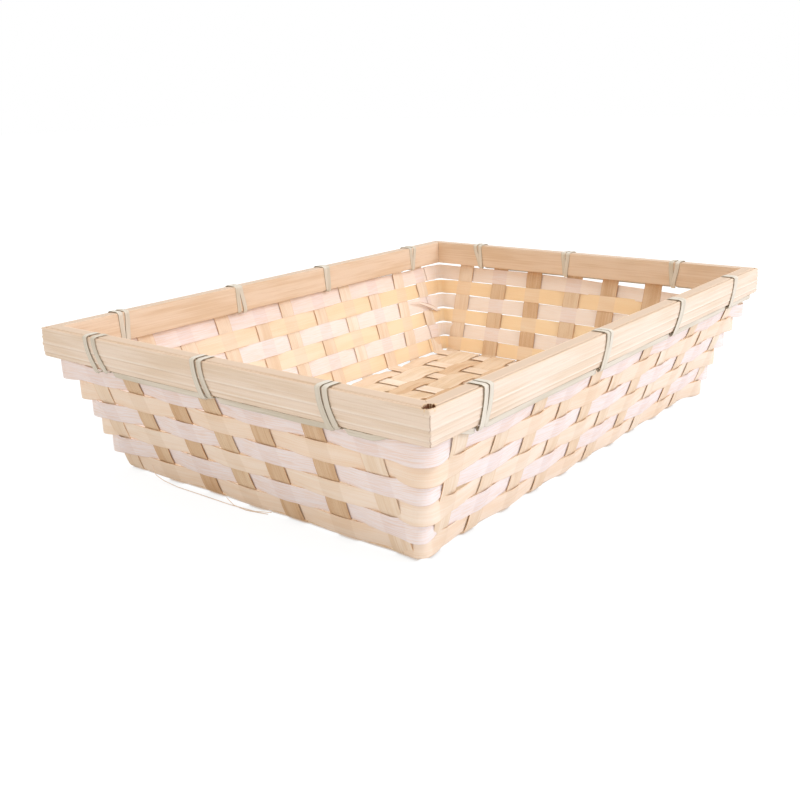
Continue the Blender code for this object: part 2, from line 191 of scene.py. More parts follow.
@dataclass(frozen=True)
class BasketPlan:
    """The basket's sizes in metres and the places of its strips, as in the solids."""
    rim_length: float = 0.400
    rim_width: float = 0.290
    slat_height: float = 0.018
    outer_slat: float = 0.0036
    inner_slat: float = 0.0050
    stake_thickness: float = 0.0008
    stake_end_drop: float = 0.0010
    base_bend_radius: float = 0.0018
    weaver_rows: int = 6
    weaver_width: float = 0.0120
    weaver_thickness: float = 0.0007
    wall_inset: float = 0.0250
    ribbon_thickness: float = 0.0005
    clearance: float = 0.0003
    lap: float = 0.0010
    cross: StakeRow = StakeRow(
        11, 0.0124, rim_length, 0.0252, 0.0050,
        (0.1, 0.0, 0.2, 0.2, 0.2, -0.1, 0.0, 0.0, 0.1, -0.1, 0.1),
        (-0.5, 0.2, 0.1, 0.0, -0.3, -0.4, -0.3, -0.3, 0.1, -0.4, -0.3),
        (0.0, 0.2, 0.0, 0.2, 0.4, 0.0, 0.1, 0.1, 0.1, 0.4, 0.0))
    long: StakeRow = StakeRow(
        7, 0.0140, rim_width, 0.0292, 0.0030,
        (0.0, 0.1, 0.1, 0.0, -0.3, -0.2, 0.0),
        (0.1, 0.0, 0.0, -0.4, -0.4, 0.0, -0.1),
        (-0.2, -0.2, -0.3, -0.1, -0.3, -0.2, 0.0))

    # What follows from these: down the wall, in from the rim's outside, and the levels.
    row_pitch: float = weaver_width + clearance
    stake_to_weaver: float = (stake_thickness + weaver_thickness) / 2 + clearance
    ribbon_slot: float = (ribbon_thickness + 2 * clearance
                          + (stake_to_weaver + weaver_thickness / 2) / 2)
    slant: float = ribbon_slot + weaver_rows * row_pitch
    lean: float = math.asin(wall_inset / slant)
    stake_inset: float = outer_slat + clearance + stake_thickness / 2
    rim_depth: float = outer_slat + 2 * clearance + stake_thickness + inner_slat
    base_step: float = stake_thickness + clearance
    base_level: float = base_step + stake_thickness / 2
    foot_level: float = base_level + base_bend_radius * (1 - math.sin(lean))
    rim_level: float = foot_level + slant * math.cos(lean)
    top_level: float = rim_level + slat_height

    def row_depth(self, row: int) -> float:
        """Distance down the wall from the rim to the middle of a weaver row."""
        return self.ribbon_slot + (row - 1) * self.row_pitch + self.weaver_width / 2

    def foot_half(self, rim_size: float) -> float:
        """Half the distance between two walls' mid-planes, at their feet."""
        return rim_size / 2 - self.stake_inset - self.wall_inset

    def stake_place(self, row: StakeRow, index: int, level: float = 0.0,
                    near: bool = True) -> float:
        """Find a stake's place along its side, cross stakes from -X and long ones from +Y.

        Args:
            row: the stakes that it belongs to.
            index: its number from 1.
            level: from 0 at the foot of the wall and in the base to 1 at the rim.
            near: whether it is the end at -X or -Y.

        Returns:
            The place in metres from the middle of the side.
        """
        rim_reach = row.rim_size / 2 - self.stake_inset - row.rim_gap - row.width / 2
        foot_reach = self.foot_half(row.rim_size) - row.foot_gap - row.width / 2
        along = 2 * (index - 1) / (row.count - 1) - 1
        rim_shares = row.near_rim_shares if near else row.far_rim_shares
        shift = mix(row.foot_shares[index - 1], rim_shares[index - 1], level)
        return along * mix(foot_reach, rim_reach, level) + shift * row.width


PLAN = BasketPlan()


@dataclass(frozen=True)
class Side:
    """One side of the basket, travelled anticlockwise seen from above.

    wall is half the rim's size across the side and end half its size along it. phase is
    the parity of row and stake number where the weaver passes outside.
    """
    name: str
    along: Vector
    outward: Vector
    wall: float
    end: float
    stakes: StakeRow
    near: bool
    phase: int

    def place(self, index: int, level: float) -> float:
        """Place of a stake along the side, at a level from 0 at its foot to 1 at the rim."""
        return (1 if self.near else -1) * PLAN.stake_place(self.stakes, index, level, self.near)

    def order(self) -> Sequence[int]:
        """Numbers of the stakes in the order of travel."""
        return range(1, self.stakes.count + 1)[::1 if self.near else -1]


HALF_X, HALF_Y = PLAN.rim_length / 2, PLAN.rim_width / 2
SIDES = (Side("far_long", -X_AXIS, Y_AXIS, HALF_Y, HALF_X, PLAN.cross, False, 1),
         Side("near_short", -Y_AXIS, -X_AXIS, HALF_X, HALF_Y, PLAN.long, True, 0),
         Side("near_long", X_AXIS, -Y_AXIS, HALF_Y, HALF_X, PLAN.cross, True, 1),
         Side("far_short", Y_AXIS, X_AXIS, HALF_X, HALF_Y, PLAN.long, False, 0))


class FibreScale(Enum):
    """Real sizes in metres that the fibre patterns are drawn at, along and across."""
    SLAT = (0.060, 0.0011)
    SPLINT = (0.045, 0.0008)
    RIBBON = (0.050, 0.0012)


# The fibre patterns, as noise stretched along the strip: the size of a cell in shares of
# the finish's scale, along and across, then the noise's detail and its shift.
FIBRES = {"streaks": (1.0, 1.0, 3.0, 0.0), "patches": (0.9, 9.0, 1.0, 7.0),
          "threads": (0.4, 0.45, 2.0, 13.0), "wash": (0.3, 0.7, 3.0, 21.0)}
TORN_WOOD = "#EACBA0"
# Brown of the outer fold's dark line, also used for painted shade in inner corners, below raised
# lines and inside the hole.
CREASE_AND_SHADE_BROWN = "#70401C"


@dataclass(frozen=True)
class BambooFinish:
    """Split bamboo: straight fibres, paler and darker, that run along the strip.

    The strip's fibre direction comes from its grain attribute. Where another
    strip lies behind, less light comes through, so its colour turns to backed.
    On the inward face a painted glow stands for light shining through the strip,
    warmer towards +X and weaker where a strip lies behind.
    strip lies behind, less light comes through, so its colour turns to backed.
    """
    title: str
    pale: str
    deep: str
    fibre: str
    # Edge colour: browned wood on the splints, painted shadow of the gap beside the ribbon.
    edge: str
    roughness: float
    scale: FibreScale
    fibre_amount: float
    relief: float = 0.00006
    backed: str = "#FFFFFF"
    chalk: str = ""
    chalk_amount: float = 0.0
    top: str = "#FFFFFF"
    # Colour of a painted highlight along the slats' raised lines.
    ridge_highlight: str = "#FFFFFF"
    # Colour of a painted glow: light shining through the strip onto its inward face.
    inside: str = ""
    edge_from: float = 0.93

    def build(self) -> bpy.types.Material:
        """Make the material.

        Returns:
            A Principled material whose pattern follows the grain attribute.
        """
        material = bpy.data.materials.new(self.title)
        material.use_nodes = True
        add = partial(add_node, material.node_tree)
        read = {title: add("ShaderNodeAttribute", {}, "Fac", attribute_name=title) for title in
                ("share", "gap", "crease_and_shade", "ridge_highlight", "crown", "torn", "inward")}
        grain = add("ShaderNodeAttribute", {}, "Vector", attribute_name="grain")
        length, width = self.scale.value
        noises = {}
        for title, (along, across, detail, shift) in FIBRES.items():
            cell = (1 / (length * along), 1 / (width * across), 1.0)
            placed = add(VECTOR_MATH, {0: grain, 1: cell, 2: (0, 0, shift)},
                         operation="MULTIPLY_ADD")
            noises[title] = add(NOISE, {"Vector": placed, "Scale": 1.0, "Detail": detail,
                                        "Roughness": 0.6})
        tone = add(MATH, {0: noises["streaks"], 1: noises["patches"]}, operation="ADD")
        outermost = add(MATH, {0: read["share"]}, operation="ABSOLUTE")
        eased = {}
        for title, value, low, high, top in (
                ("tone", tone, 0.72, 1.22, 1.0),
                ("fibre", noises["threads"], 0.56, 0.78, self.fibre_amount),
                ("chalk", noises["wash"], 0.36, 0.60, self.chalk_amount),
                ("behind", read["gap"], 0.0006, -0.0006, 1.0),
                ("edge", outermost, self.edge_from, 1.0, 1.0),
                ("edge_wear_and_shade", noises["patches"], 0.35, 0.65, 0.8)):
            eased[title] = add(RANGE, {0: value, 1: low, 2: high, 3: 0.0, 4: top},
                               interpolation_type="SMOOTHSTEP")
        # Painted light: the inward face glows warm as if lit through the strip, more towards +X and
        # less where a strip lies behind.
        spot = add(SPLIT, {0: add("ShaderNodeTexCoord", {}, "Object")}, "X")
        lit = add(RANGE, {0: spot, 1: -0.1, 2: 0.18, 3: 0.15, 4: 0.68})
        bare = add(RANGE, {0: eased["behind"], 3: 1.0, 4: 0.5})
        through = add(MATH, {0: lit, 1: bare}, operation="MULTIPLY")
        glow = add(MATH, {0: through, 1: read["inward"]}, operation="MULTIPLY")
        shaded = add(MATH, {0: eased["behind"], 1: 0.4}, operation="MULTIPLY")
        # Edge colour in patches: browned wood on the splints, painted shadow of the gap beside the
        # ribbon.
        line = add(MATH, {0: eased["edge"], 1: eased["edge_wear_and_shade"]}, operation="MULTIPLY")
        chance = add("ShaderNodeTexWhiteNoise", {"W": add(SPLIT, {0: grain}, "Z")}, "Value",
                     noise_dimensions="1D")
        shade = add(RANGE, {0: chance, 3: 0.0, 4: 0.5})
        colour = linear(self.deep)
        for tint, amount, blend in (
                (self.pale, eased["tone"], "MIX"), (self.fibre, eased["fibre"], "MIX"),
                (self.chalk, eased["chalk"], "MIX"), (self.inside, glow, "MIX"),
                (self.backed, shaded, "MULTIPLY"), (self.edge, line, "MIX"),
                (self.top, read["crown"], "MIX"), (self.ridge_highlight, read["ridge_highlight"], "MIX"),
                (self.deep, shade, "MULTIPLY"), (TORN_WOOD, read["torn"], "MIX"),
                (CREASE_AND_SHADE_BROWN, read["crease_and_shade"], "MIX")):
            if tint:
                colour = add("ShaderNodeMix", {0: amount, 6: colour, 7: linear(tint)}, 2,
                             data_type="RGBA", blend_type=blend)
        bump = add("ShaderNodeBump", {"Height": noises["streaks"], "Distance": self.relief,
                                      "Strength": 1.0})
        bump = add("ShaderNodeBump", {"Height": noises["threads"], "Distance": self.relief / 2,
                                      "Strength": 1.0, "Normal": bump})
        feed(material.node_tree.nodes["Principled BSDF"],
             {"Base Color": colour, "Roughness": self.roughness, "IOR": 1.5,
              "Specular IOR Level": 0.35, "Normal": bump})
        return material


# Outer slat: a broad slat from just under the culm's skin, sanded. Pale cream with straight
# darker fibres, thin raised lines with a painted highlight along them and painted shade at
# their foot, and a faint sheen.
OUTER_SLAT = BambooFinish(
    "sanded bamboo slat", pale="#F6E7D8", deep="#EBD8C2", fibre="#DABB98", edge="#D8BC96",
    roughness=0.5, scale=FibreScale.SLAT, fibre_amount=0.38, top="#E6CBB0", ridge_highlight="#FFF9F0")
# Inner slat: thicker and from deeper in the culm, so it is warmer and duller.
INNER_SLAT = BambooFinish(
    "inner bamboo slat", pale="#F4E2CE", deep="#E8D0B4", fibre="#D2B08A", edge="#C4A078",
    roughness=0.52, scale=FibreScale.SLAT, fibre_amount=0.38, top="#E2CEB9", ridge_highlight="#EBD5BA")
# Whitewashed splint: limewash lies in the fibres as a cool chalky film over pinkish wood.
# Its inside colour is a painted glow of light shining through onto the inward face.
WHITE_SPLINT = BambooFinish(
    "limewashed bamboo splint", pale="#F8EBE5", deep="#F4E2D7", fibre="#EED8CA", edge="#DDBFAA",
    roughness=0.72, scale=FibreScale.SPLINT, fibre_amount=0.3, relief=0.00004,
    backed="#F4EEEC", chalk="#FBF8FC", chalk_amount=0.8, inside="#FFF5E6")
# Torn splint: the same with a browned edge where a sliver came off.
TORN_SPLINT = replace(WHITE_SPLINT, title="torn limewashed splint", edge="#A9713F", edge_from=0.5)
# Natural splint: planed from the inside of the culm, matt and honey-cream.
# Its inside colour is a painted golden glow of light shining through onto the inward face.
NATURAL_SPLINT = BambooFinish(
    "planed bamboo splint", pale="#FCEEDF", deep="#F7E2CB", fibre="#EDCDA4", edge="#DDB07C",
    roughness=0.6, scale=FibreScale.SPLINT, fibre_amount=0.3, relief=0.00004,
    backed="#F0EBE4", inside="#FFE2AE")
# Cross stake: a sawn splint, pale, with browned edges.
CROSS_SPLINT = BambooFinish(
    "sawn bamboo splint", pale="#F9EAD8", deep="#EFDAC0", fibre="#D9B68E", edge="#E0B07A",
    roughness=0.6, scale=FibreScale.SPLINT, fibre_amount=0.42)
# Long stake: a splint with its darker outer fibres left on.
LONG_SPLINT = BambooFinish(
    "outer bamboo splint", pale="#EBD3B4", deep="#DDBD98", fibre="#C39C70", edge="#C4874A",
    roughness=0.6, scale=FibreScale.SPLINT, fibre_amount=0.42)
# Filler: a broad base splint of the same planed bamboo.
FILLER_SPLINT = BambooFinish(
    "broad bamboo base splint", pale="#F5E4CE", deep="#E8D0B0", fibre="#D0AC80", edge="#B98850",
    roughness=0.6, scale=FibreScale.SPLINT, fibre_amount=0.4)
# Ribbon: the culm's skin, peeled as a flat cane. Grey-green, smooth, with a slight sheen.
# Its dark edge colour is painted shadow of the narrow gap beside it.
CANE_RIBBON = BambooFinish(
    "peeled cane ribbon", pale="#E6DED0", deep="#D5CCBA", fibre="#BBB29C", edge="#7A6C4C",
    roughness=0.42, scale=FibreScale.RIBBON, fibre_amount=0.35, relief=0.00004, edge_from=0.88)


@dataclass(frozen=True)
class Station:
    """A place on the line that a splint follows.

    across and through are unit vectors along its width and its thickness, and girth is
    its size there, 1 being the full size. gap_low and gap_high are the clear ways to
    the nearest strip behind, at its lower and its upper edge.
    """
    point: Vector
    across: Vector
    through: Vector
    girth: float = 1.0
    gap_low: float = 1.0
    gap_high: float = 1.0


@dataclass(frozen=True)
class Splint:
    """How a splint was split: its section and how uneven the knife left it."""
    width: float
    thickness: float
    wander: float = 0.0003
    wander_length: float = 0.030
    warp: float = 0.00010
    cuts: int = 5


class SplintSweep:
    """Geometry Nodes tree that sweeps a splint's section along its guide."""
    inputs = {"guide": "Geometry", "width": "Float", "thickness": "Float", "wander": "Float",
              "wander_length": "Float", "warp": "Float", "cuts": "Int", "seed": "Float",
              "material": "Material"}

    def __init__(self) -> None:
        """Name the tree's inputs and output, and lay out its nodes."""
        self.tree = bpy.data.node_groups.new("splint along its guide", "GeometryNodeTree")
        face = self.tree.interface
        self.sockets = {}
        for title, kind in self.inputs.items():
            socket = face.new_socket(title, in_out="INPUT", socket_type="NodeSocket" + kind)
            self.sockets[title] = socket.identifier
        face.new_socket("splint", in_out="OUTPUT", socket_type="NodeSocketGeometry")
        given = self.tree.nodes.new("NodeGroupInput").outputs
        add = partial(add_node, self.tree)
        half = add(MATH, {0: given["width"], 1: 0.5}, operation="MULTIPLY")
        self._wire(given, half, self._section(given, half))

    def _section(self, given: Outputs, half: Socket) -> Socket:
        """Make the splint's section: a flat oblong with eased edges.

        Args:
            given: the tree's inputs.
            half: half the splint's width.

        Returns:
            The section's curve, which knows its share across and its inward face.
        """
        add = partial(add_node, self.tree)
        oblong = add("GeometryNodeCurvePrimitiveQuadrilateral",
                     {"Width": given["thickness"], "Height": given["width"]})
        cut = add("GeometryNodeSubdivideCurve", {"Curve": oblong, "Cuts": given["cuts"]})
        place = add(SPLIT, {0: add("GeometryNodeInputPosition", {})}).node.outputs
        share = add(MATH, {0: place["Y"], 1: half}, operation="DIVIDE")
        turn = add(MATH, {0: share, 1: math.pi / 2}, operation="MULTIPLY")
        eased = add(MATH, {0: turn}, operation="SINE")
        sixth = add(MATH, {0: eased, 1: 6.0}, operation="POWER")
        thin = add(MATH, {0: sixth, 1: -0.4, 2: 1.0}, operation="MULTIPLY_ADD")
        deep = add(MATH, {0: place["X"], 1: thin}, operation="MULTIPLY")
        wide = add(MATH, {0: eased, 1: half}, operation="MULTIPLY")
        section = add(MOVE, {"Geometry": cut, "Position": add(JOIN, {0: deep, 1: wide})})
        upward = add(MATH, {0: share, 1: -1.0}, operation="MULTIPLY")
        inward = add(MATH, {0: place["X"], 1: 0.0}, operation="LESS_THAN")
        for title, value in (("share", upward), ("inward", inward)):
            section = add(STORE, {"Geometry": section, "Name": title, "Value": value},
                          data_type="FLOAT", domain="POINT")
        return section

    def _wire(self, given: Outputs, half: Socket, section: Socket) -> None:
        """Lay out the nodes from the guide to the finished splint.

        Args:
            given: the tree's inputs.
            half: half the splint's width.
            section: the curve that is swept.
        """
        add = partial(add_node, self.tree)
        share, along, girth, gap_low, gap_high = [
            add(READ, {"Name": title}, data_type="FLOAT")
            for title in ("share", "along", "girth", "gap_low", "gap_high")]
        across, through = [add(READ, {"Name": title}, data_type="FLOAT_VECTOR")
                           for title in ("across", "through")]
        seed = given["seed"]
        curve = add("GeometryNodeMeshToCurve", {"Mesh": given["guide"]})
        length = add("GeometryNodeSplineParameter", {}, "Length")
        curve = add(STORE, {"Geometry": curve, "Name": "along", "Value": length},
                    data_type="FLOAT", domain="POINT")
        curve = add("GeometryNodeSetCurveNormal", {"Curve": curve, "Normal": through}, mode="FREE")
        splint = add("GeometryNodeCurveToMesh", {"Curve": curve, "Profile Curve": section,
                                                 "Scale": girth, "Fill Caps": True})
        # The edges wander along the strip, each by itself, and the faces swell.
        run = add(MATH, {0: along, 1: given["wander_length"]}, operation="DIVIDE")
        side = add(MATH, {0: share}, operation="SIGN")
        own = add(MATH, {0: side, 1: 3.3, 2: seed}, operation="MULTIPLY_ADD")
        edge = add(NOISE, {"Vector": add(JOIN, {0: run, 1: own}), "Scale": 1.0, "Detail": 3.0,
                           "Roughness": 0.55}, noise_dimensions="2D")
        swing = add(MATH, {0: edge, 1: 2.0, 2: -1.0}, operation="MULTIPLY_ADD")
        swing = add(MATH, {0: swing, 1: given["wander"]}, operation="MULTIPLY")
        swing = add(MATH, {0: swing, 1: share}, operation="MULTIPLY")
        sideways = add(VECTOR_MATH, {0: across, "Scale": swing}, operation="SCALE")
        far = add(MATH, {0: along, 1: 45.0, 2: seed}, operation="MULTIPLY_ADD")
        swell = add(NOISE, {"Vector": add(JOIN, {0: far, 1: share, 2: seed}), "Scale": 1.0,
                            "Detail": 1.0})
        swell = add(MATH, {0: swell, 1: 2.0, 2: -1.0}, operation="MULTIPLY_ADD")
        swell = add(MATH, {0: swell, 1: given["warp"]}, operation="MULTIPLY")
        outward = add(VECTOR_MATH, {0: through, "Scale": swell}, operation="SCALE")
        moved = add(VECTOR_MATH, {0: sideways, 1: outward}, operation="ADD")
        splint = add(MOVE, {"Geometry": splint, "Offset": moved})
        # What the finish reads: its own axes, and the clear way to the strip behind.
        place = add(MATH, {0: share, 1: half}, operation="MULTIPLY")
        grain = add(JOIN, {0: along, 1: place, 2: seed})
        upper = add(MATH, {0: share, 1: 0.5, 2: 0.5}, operation="MULTIPLY_ADD")
        spread = add(MATH, {0: gap_high, 1: gap_low}, operation="SUBTRACT")
        gap = add(MATH, {0: spread, 1: upper, 2: gap_low}, operation="MULTIPLY_ADD")
        for title, value, kind in (("grain", grain, "FLOAT_VECTOR"), ("gap", gap, "FLOAT")):
            splint = add(STORE, {"Geometry": splint, "Name": title, "Value": value},
                         data_type=kind, domain="POINT")
        splint = add(SHADE, {"Geometry": splint, "Shade Smooth": True}, domain="FACE")
        sharp = add(MATH, {0: add("GeometryNodeInputMeshEdgeAngle", {}), 1: 1.0},
                    operation="GREATER_THAN")
        splint = add(SHADE, {"Geometry": splint, "Selection": sharp, "Shade Smooth": False},
                     domain="EDGE")
        splint = add("GeometryNodeRealizeInstances", {"Geometry": splint})
        splint = add("GeometryNodeSetMaterial", {"Geometry": splint,
                                                 "Material": given["material"]})
        add("NodeGroupOutput", {0: splint})

    def make(self, name: str, guide: list[Station], splint: Splint, seed: float,
             material: bpy.types.Material, slot: str, *nodes: str) -> None:
        """Sweep a splint, turn it into a plain mesh and tie it to the frame.

        Args:
            name: the piece's name.
            guide: the line that it follows.
            splint: its section and unevenness.
            seed: what sets its own pattern and unevenness apart.
            material: its finish.
            slot: the record's material slot, handed on to place_piece.
            nodes: the CAD nodes that it stands for.
        """
        line = bpy.data.meshes.new(name + "_guide")
        line.from_pydata([tuple(station.point) for station in guide],
                         [(n, n + 1) for n in range(len(guide) - 1)], [])
        store(line, {title: [getattr(station, title) for station in guide]
                     for title in ("across", "through", "girth", "gap_low", "gap_high")})
        holder = add_object(line.name, line)
        modifier = holder.modifiers.new("splint", "NODES")
        modifier.node_group = self.tree
        for title, value in {**vars(splint), "seed": seed, "material": material}.items():
            modifier[self.sockets[title]] = value
        graph = bpy.context.evaluated_depsgraph_get()
        mesh = bpy.data.meshes.new_from_object(holder.evaluated_get(graph),
                                               preserve_all_data_layers=True, depsgraph=graph)
        mesh.name = name
        bpy.data.objects.remove(holder, do_unlink=True)
        place_piece(add_object(name, mesh), slot, *nodes)


@dataclass(frozen=True)
class RowCorner:
    """How the six rows turn one corner, from the first row down, in millimetres.

    drops is how far they hang below their place in the solids, pulls how far they
    stand in from the corner, shares their width there in shares of the full width.
    before and after are how far from the corner the sag begins on each side.
    """
    radii: tuple[float, ...]
    drops: tuple[float, ...]
    pulls: tuple[float, ...] = (0, 0, 0, 0, 0, 0)
    shares: tuple[float, ...] = (1, 1, 1, 1, 1, 1)
    before: float = 50
    after: float = 50


# The corner after each side, in the order of travel.
ROW_CORNERS = {
    "far_long": RowCorner((6, 6, 6, 6, 5, 5), (-0.1, 1.7, 1.5, 1.8, 1.9, 0.9),
                          (-1.4, 1.2, 1.3, 0.3, 0.3, 2.1), before=60, after=60),
    "near_short": RowCorner((9.5, 8.5, 6, 8, 5, 6), (0.2, 0.1, -0.5, 1.0, 0.8, -0.3)),
    "near_long": RowCorner((6, 6, 6, 6, 5, 5), (4.6, 1.0, 1.6, 2.4, 2.4, 2.1),
                           (-0.9, 0.3, 0.2, 1.0, -0.2, -0.6), (0.74, 1, 1, 1, 1, 1), 32, 190),
    "far_short": RowCorner((4, 4, 4, 4, 4, 4), (1.0, 1.3, 1.4, 1.5, 1.4, 0.8),
                           (1, 1.5, 1.5, 1.5, 1, 1), (0.97, 0.91, 0.93, 0.91, 0.89, 0.92),
                           210, 130)}


@dataclass(frozen=True)
class Spot:
    """A place on a row's track, with the row's state there.

    upright is 1 at the corners, where the row stands upright, and 0 where it leans.
    """
    point: Vector
    outward: Vector
    distance: float
    drop: float
    girth: float
    upright: float


@dataclass(frozen=True)
class Crossing:
    """Where a row passes a stake.

    low and high are the distances along the track at the row's lower and upper edge,
    half is half the stake's width, sign is 1 outside the stake and -1 inside it, and
    bow is how far the row bulges there, in shares of its step.
    """
    low: float
    high: float
    half: float
    sign: float
    bow: float


@dataclass
class WeaverHoops:
    """Six hoops of splint woven round the stakes, white and natural in turn.

    At the corners the rows stand upright and step in one below the other. lap_under
    and lap_before are how far the lapped ends stand in, in shares of the thickness.
    """
    sweep: SplintSweep
    lap_under: float = 1.2
    lap_before: float = 0.6
    reach: float = 0.00068
    early: float = 0.0012
    bow_share: float = 0.35
    near_long_bow_share: float = 0.8
    inner_bow_share: float = 0.1
    spacing: float = 0.0015
    turn_length: float = 0.013
    lapped_spots: int = 12
    lap_rise: float = 0.003
    lap_fall: float = 0.006

    def _track(self, row: int) -> tuple[list[Spot], float, list[Crossing]]:
        """Lay the row's closed track on the walls' mid-planes.

        Args:
            row: the row's number from the rim.

        Returns:
            The spots, the whole length, and the crossings.
        """
        depth = PLAN.row_depth(row)
        inset = PLAN.stake_inset + depth * math.sin(PLAN.lean)
        height = UP * (PLAN.rim_level - depth * math.cos(PLAN.lean))
        half_row = PLAN.weaver_width / 2 / PLAN.slant
        middle = 1 - depth / PLAN.slant
        spots: list[Spot] = []
        crossings: list[Crossing] = []
        distance = 0.0
        nth = row - 1
        for number, side in enumerate(SIDES):
            start = ROW_CORNERS[SIDES[number - 1].name]
            end = ROW_CORNERS[side.name]
            radius = end.radii[nth] / 1000
            wall = side.wall - inset
            first = -(side.end - inset - start.radii[nth] / 1000)
            last = side.end - inset - radius
            count = int((last - first) / self.spacing)
            for step in range(count):
                place = mix(first, last, step / count)
                after_start = smooth(1 - (place - first) * 1000 / start.after)
                before_end = smooth(1 - (last - place) * 1000 / end.before)
                turn_start = smooth(1 - (place - first) / self.turn_length)
                turn_end = smooth(1 - (last - place) / self.turn_length)
                start_pull = start.pulls[nth] / 1000 * turn_start
                end_pull = end.pulls[nth] / 1000 * turn_end
                drop = (start.drops[nth] * after_start + end.drops[nth] * before_end) / 1000
                girth = (1 + (start.shares[nth] - 1) * after_start
                         + (end.shares[nth] - 1) * before_end)
                point = (side.along * (place + start_pull - end_pull)
                         + side.outward * (wall - start_pull - end_pull) + height)
                spots.append(Spot(point, side.outward, distance + place - first, drop, girth,
                                  turn_start + turn_end))
            for index in side.order():
                sign = 1.0 if (index + row) % 2 == side.phase else -1.0
                bow = self.near_long_bow_share if side.name == "near_long" else self.bow_share
                crossings.append(Crossing(distance + side.place(index, middle - half_row) - first,
                                          distance + side.place(index, middle + half_row) - first,
                                          side.stakes.width / 2, sign,
                                          bow if sign > 0 else self.inner_bow_share))
            distance += last - first
            pull = end.pulls[nth] / 1000
            hub = side.along * (last - pull) + side.outward * (wall - radius - pull) + height
            arc = radius * math.pi / 2
            steps = max(8, int(arc / self.spacing))
            for step in range(steps):
                angle = math.pi / 2 * step / steps
                radial = side.outward * math.cos(angle) + side.along * math.sin(angle)
                spots.append(Spot(hub + radial * radius, radial, distance + arc * step / steps,
                                  end.drops[nth] / 1000, end.shares[nth], 1.0))
            distance += arc
        return spots, distance, crossings

    def _step(self, distance: float, total: float, crossings: list[Crossing]) -> float:
        """Find the offset outward from the stakes' mid-plane.

        Args:
            distance: the distance along the track.
            total: the track's length.
            crossings: where it passes the stakes.

        Returns:
            The offset in metres, below 0 inside the stakes.
        """
        knots = [((c.low + c.high) / 2, abs(c.high - c.low) / 2 + c.half - self.early, c.sign,
                  c.bow) for c in crossings]
        knots = [(knots[-1][0] - total, *knots[-1][1:]), *knots,
                 (knots[0][0] + total, *knots[0][1:])]
        for (centre, level, sign, bow), after in zip(knots, knots[1:]):
            if distance > after[0] - after[1]:
                continue
            start = centre + level
            if distance > start:
                share = (distance - start) / (after[0] - after[1] - start)
                return mix(sign, after[2], smooth(share)) * self.reach
            break
        else:
            centre, level, sign, bow = knots[-1]
        share = min(1.0, abs(distance - centre) / level)
        return sign * self.reach * (1 + bow * (1 - share * share))

    def _gap(self, distance: float, total: float, stakes: list[tuple[float, float]]) -> float:
        """Find the clear way along the row to the nearest stake's edge.

        Args:
            distance: the distance along the track.
            total: the track's length.
            stakes: the distance and the half width of each stake.

        Returns:
            The clear way in metres, below 0 over a stake.
        """
        found = 1.0
        for place, half in stakes:
            away = abs(distance - place)
            found = min(found, min(away, abs(total - away)) - half)
        return found

    def _guide(self, row: int) -> list[Station]:
        """Lay out one row.

        Args:
            row: the row's number from the rim.

        Returns:
            The line that the splint follows, with its ends lapped behind a stake.
        """
        spots, total, crossings = self._track(row)
        lows = [(crossing.low, crossing.half) for crossing in crossings]
        highs = [(crossing.high, crossing.half) for crossing in crossings]
        again = [(total, spot) for spot in spots[:self.lapped_spots]]
        guide = []
        for lap, spot in [(0.0, spot) for spot in spots] + again:
            lean = PLAN.lean * (1 - min(1.0, spot.upright))
            across = spot.outward * math.sin(lean) + UP * math.cos(lean)
            through = spot.outward * math.cos(lean) - UP * math.sin(lean)
            step = self._step(spot.distance, total, crossings)
            if lap:
                past = spot.distance / self.lap_rise
                step -= PLAN.weaver_thickness * self.lap_under * smooth(past)
            else:
                past = (spot.distance - total + self.lap_fall) / self.lap_fall
                step -= PLAN.weaver_thickness * self.lap_before * smooth(past)
            guide.append(Station(spot.point - UP * spot.drop + through * step, across, through,
                                 spot.girth, self._gap(spot.distance, total, lows),
                                 self._gap(spot.distance, total, highs)))
        return guide

    def build(self) -> None:
        """Make the six hoops."""
        finishes = (NATURAL_SPLINT.build(), WHITE_SPLINT.build())
        slots = ("natural_weaver", "white_weaver")
        splint = Splint(width=PLAN.weaver_width + 0.0006, thickness=0.0005,
                        wander_length=0.028, warp=0.00012)
        for row in range(1, PLAN.weaver_rows + 1):
            self.sweep.make(f"weaver_{row}", self._guide(row), splint, row * 1.37,
                            finishes[row % 2], slots[row % 2], f"weaver_row_{row}")


def base_course(start: Vector, end: Vector, over_phase: int, spacing: float) -> list[Vector]:
    """Lay the course of a strip of the base over and under the cross stakes.

    Args:
        start: the point where the course begins, at -X.
        end: the point where it ends.
        over_phase: the parity of the cross stakes that the strip passes over.
        spacing: the distance between the course's points.

    Returns:
        The points between start and end.
    """
    knots = [(start.x, start.z)]
    level_past = PLAN.cross.width / 2 + PLAN.lap / 2
    fall = 0.0055
    for crossed in range(1, PLAN.cross.count + 1):
        x = PLAN.stake_place(PLAN.cross, crossed)
        step = PLAN.base_step if crossed % 2 == over_phase else -PLAN.base_step
        knots += [(x - level_past - fall, PLAN.base_level),
                  (x - level_past, PLAN.base_level + step),
                  (x + level_past, PLAN.base_level + step),
                  (x + level_past + fall, PLAN.base_level)]
    knots = [knot for knot in knots if start.x <= knot[0] <= end.x]
    knots.append((end.x, end.z))
    course = []
    for (x, z), (next_x, next_z) in zip(knots, knots[1:]):
        count = max(1, int((next_x - x) / spacing))
        for step in range(count):
            share = step / count
            course.append(Vector((mix(x, next_x, share), start.y, mix(z, next_z, smooth(share)))))
    return course[1:]


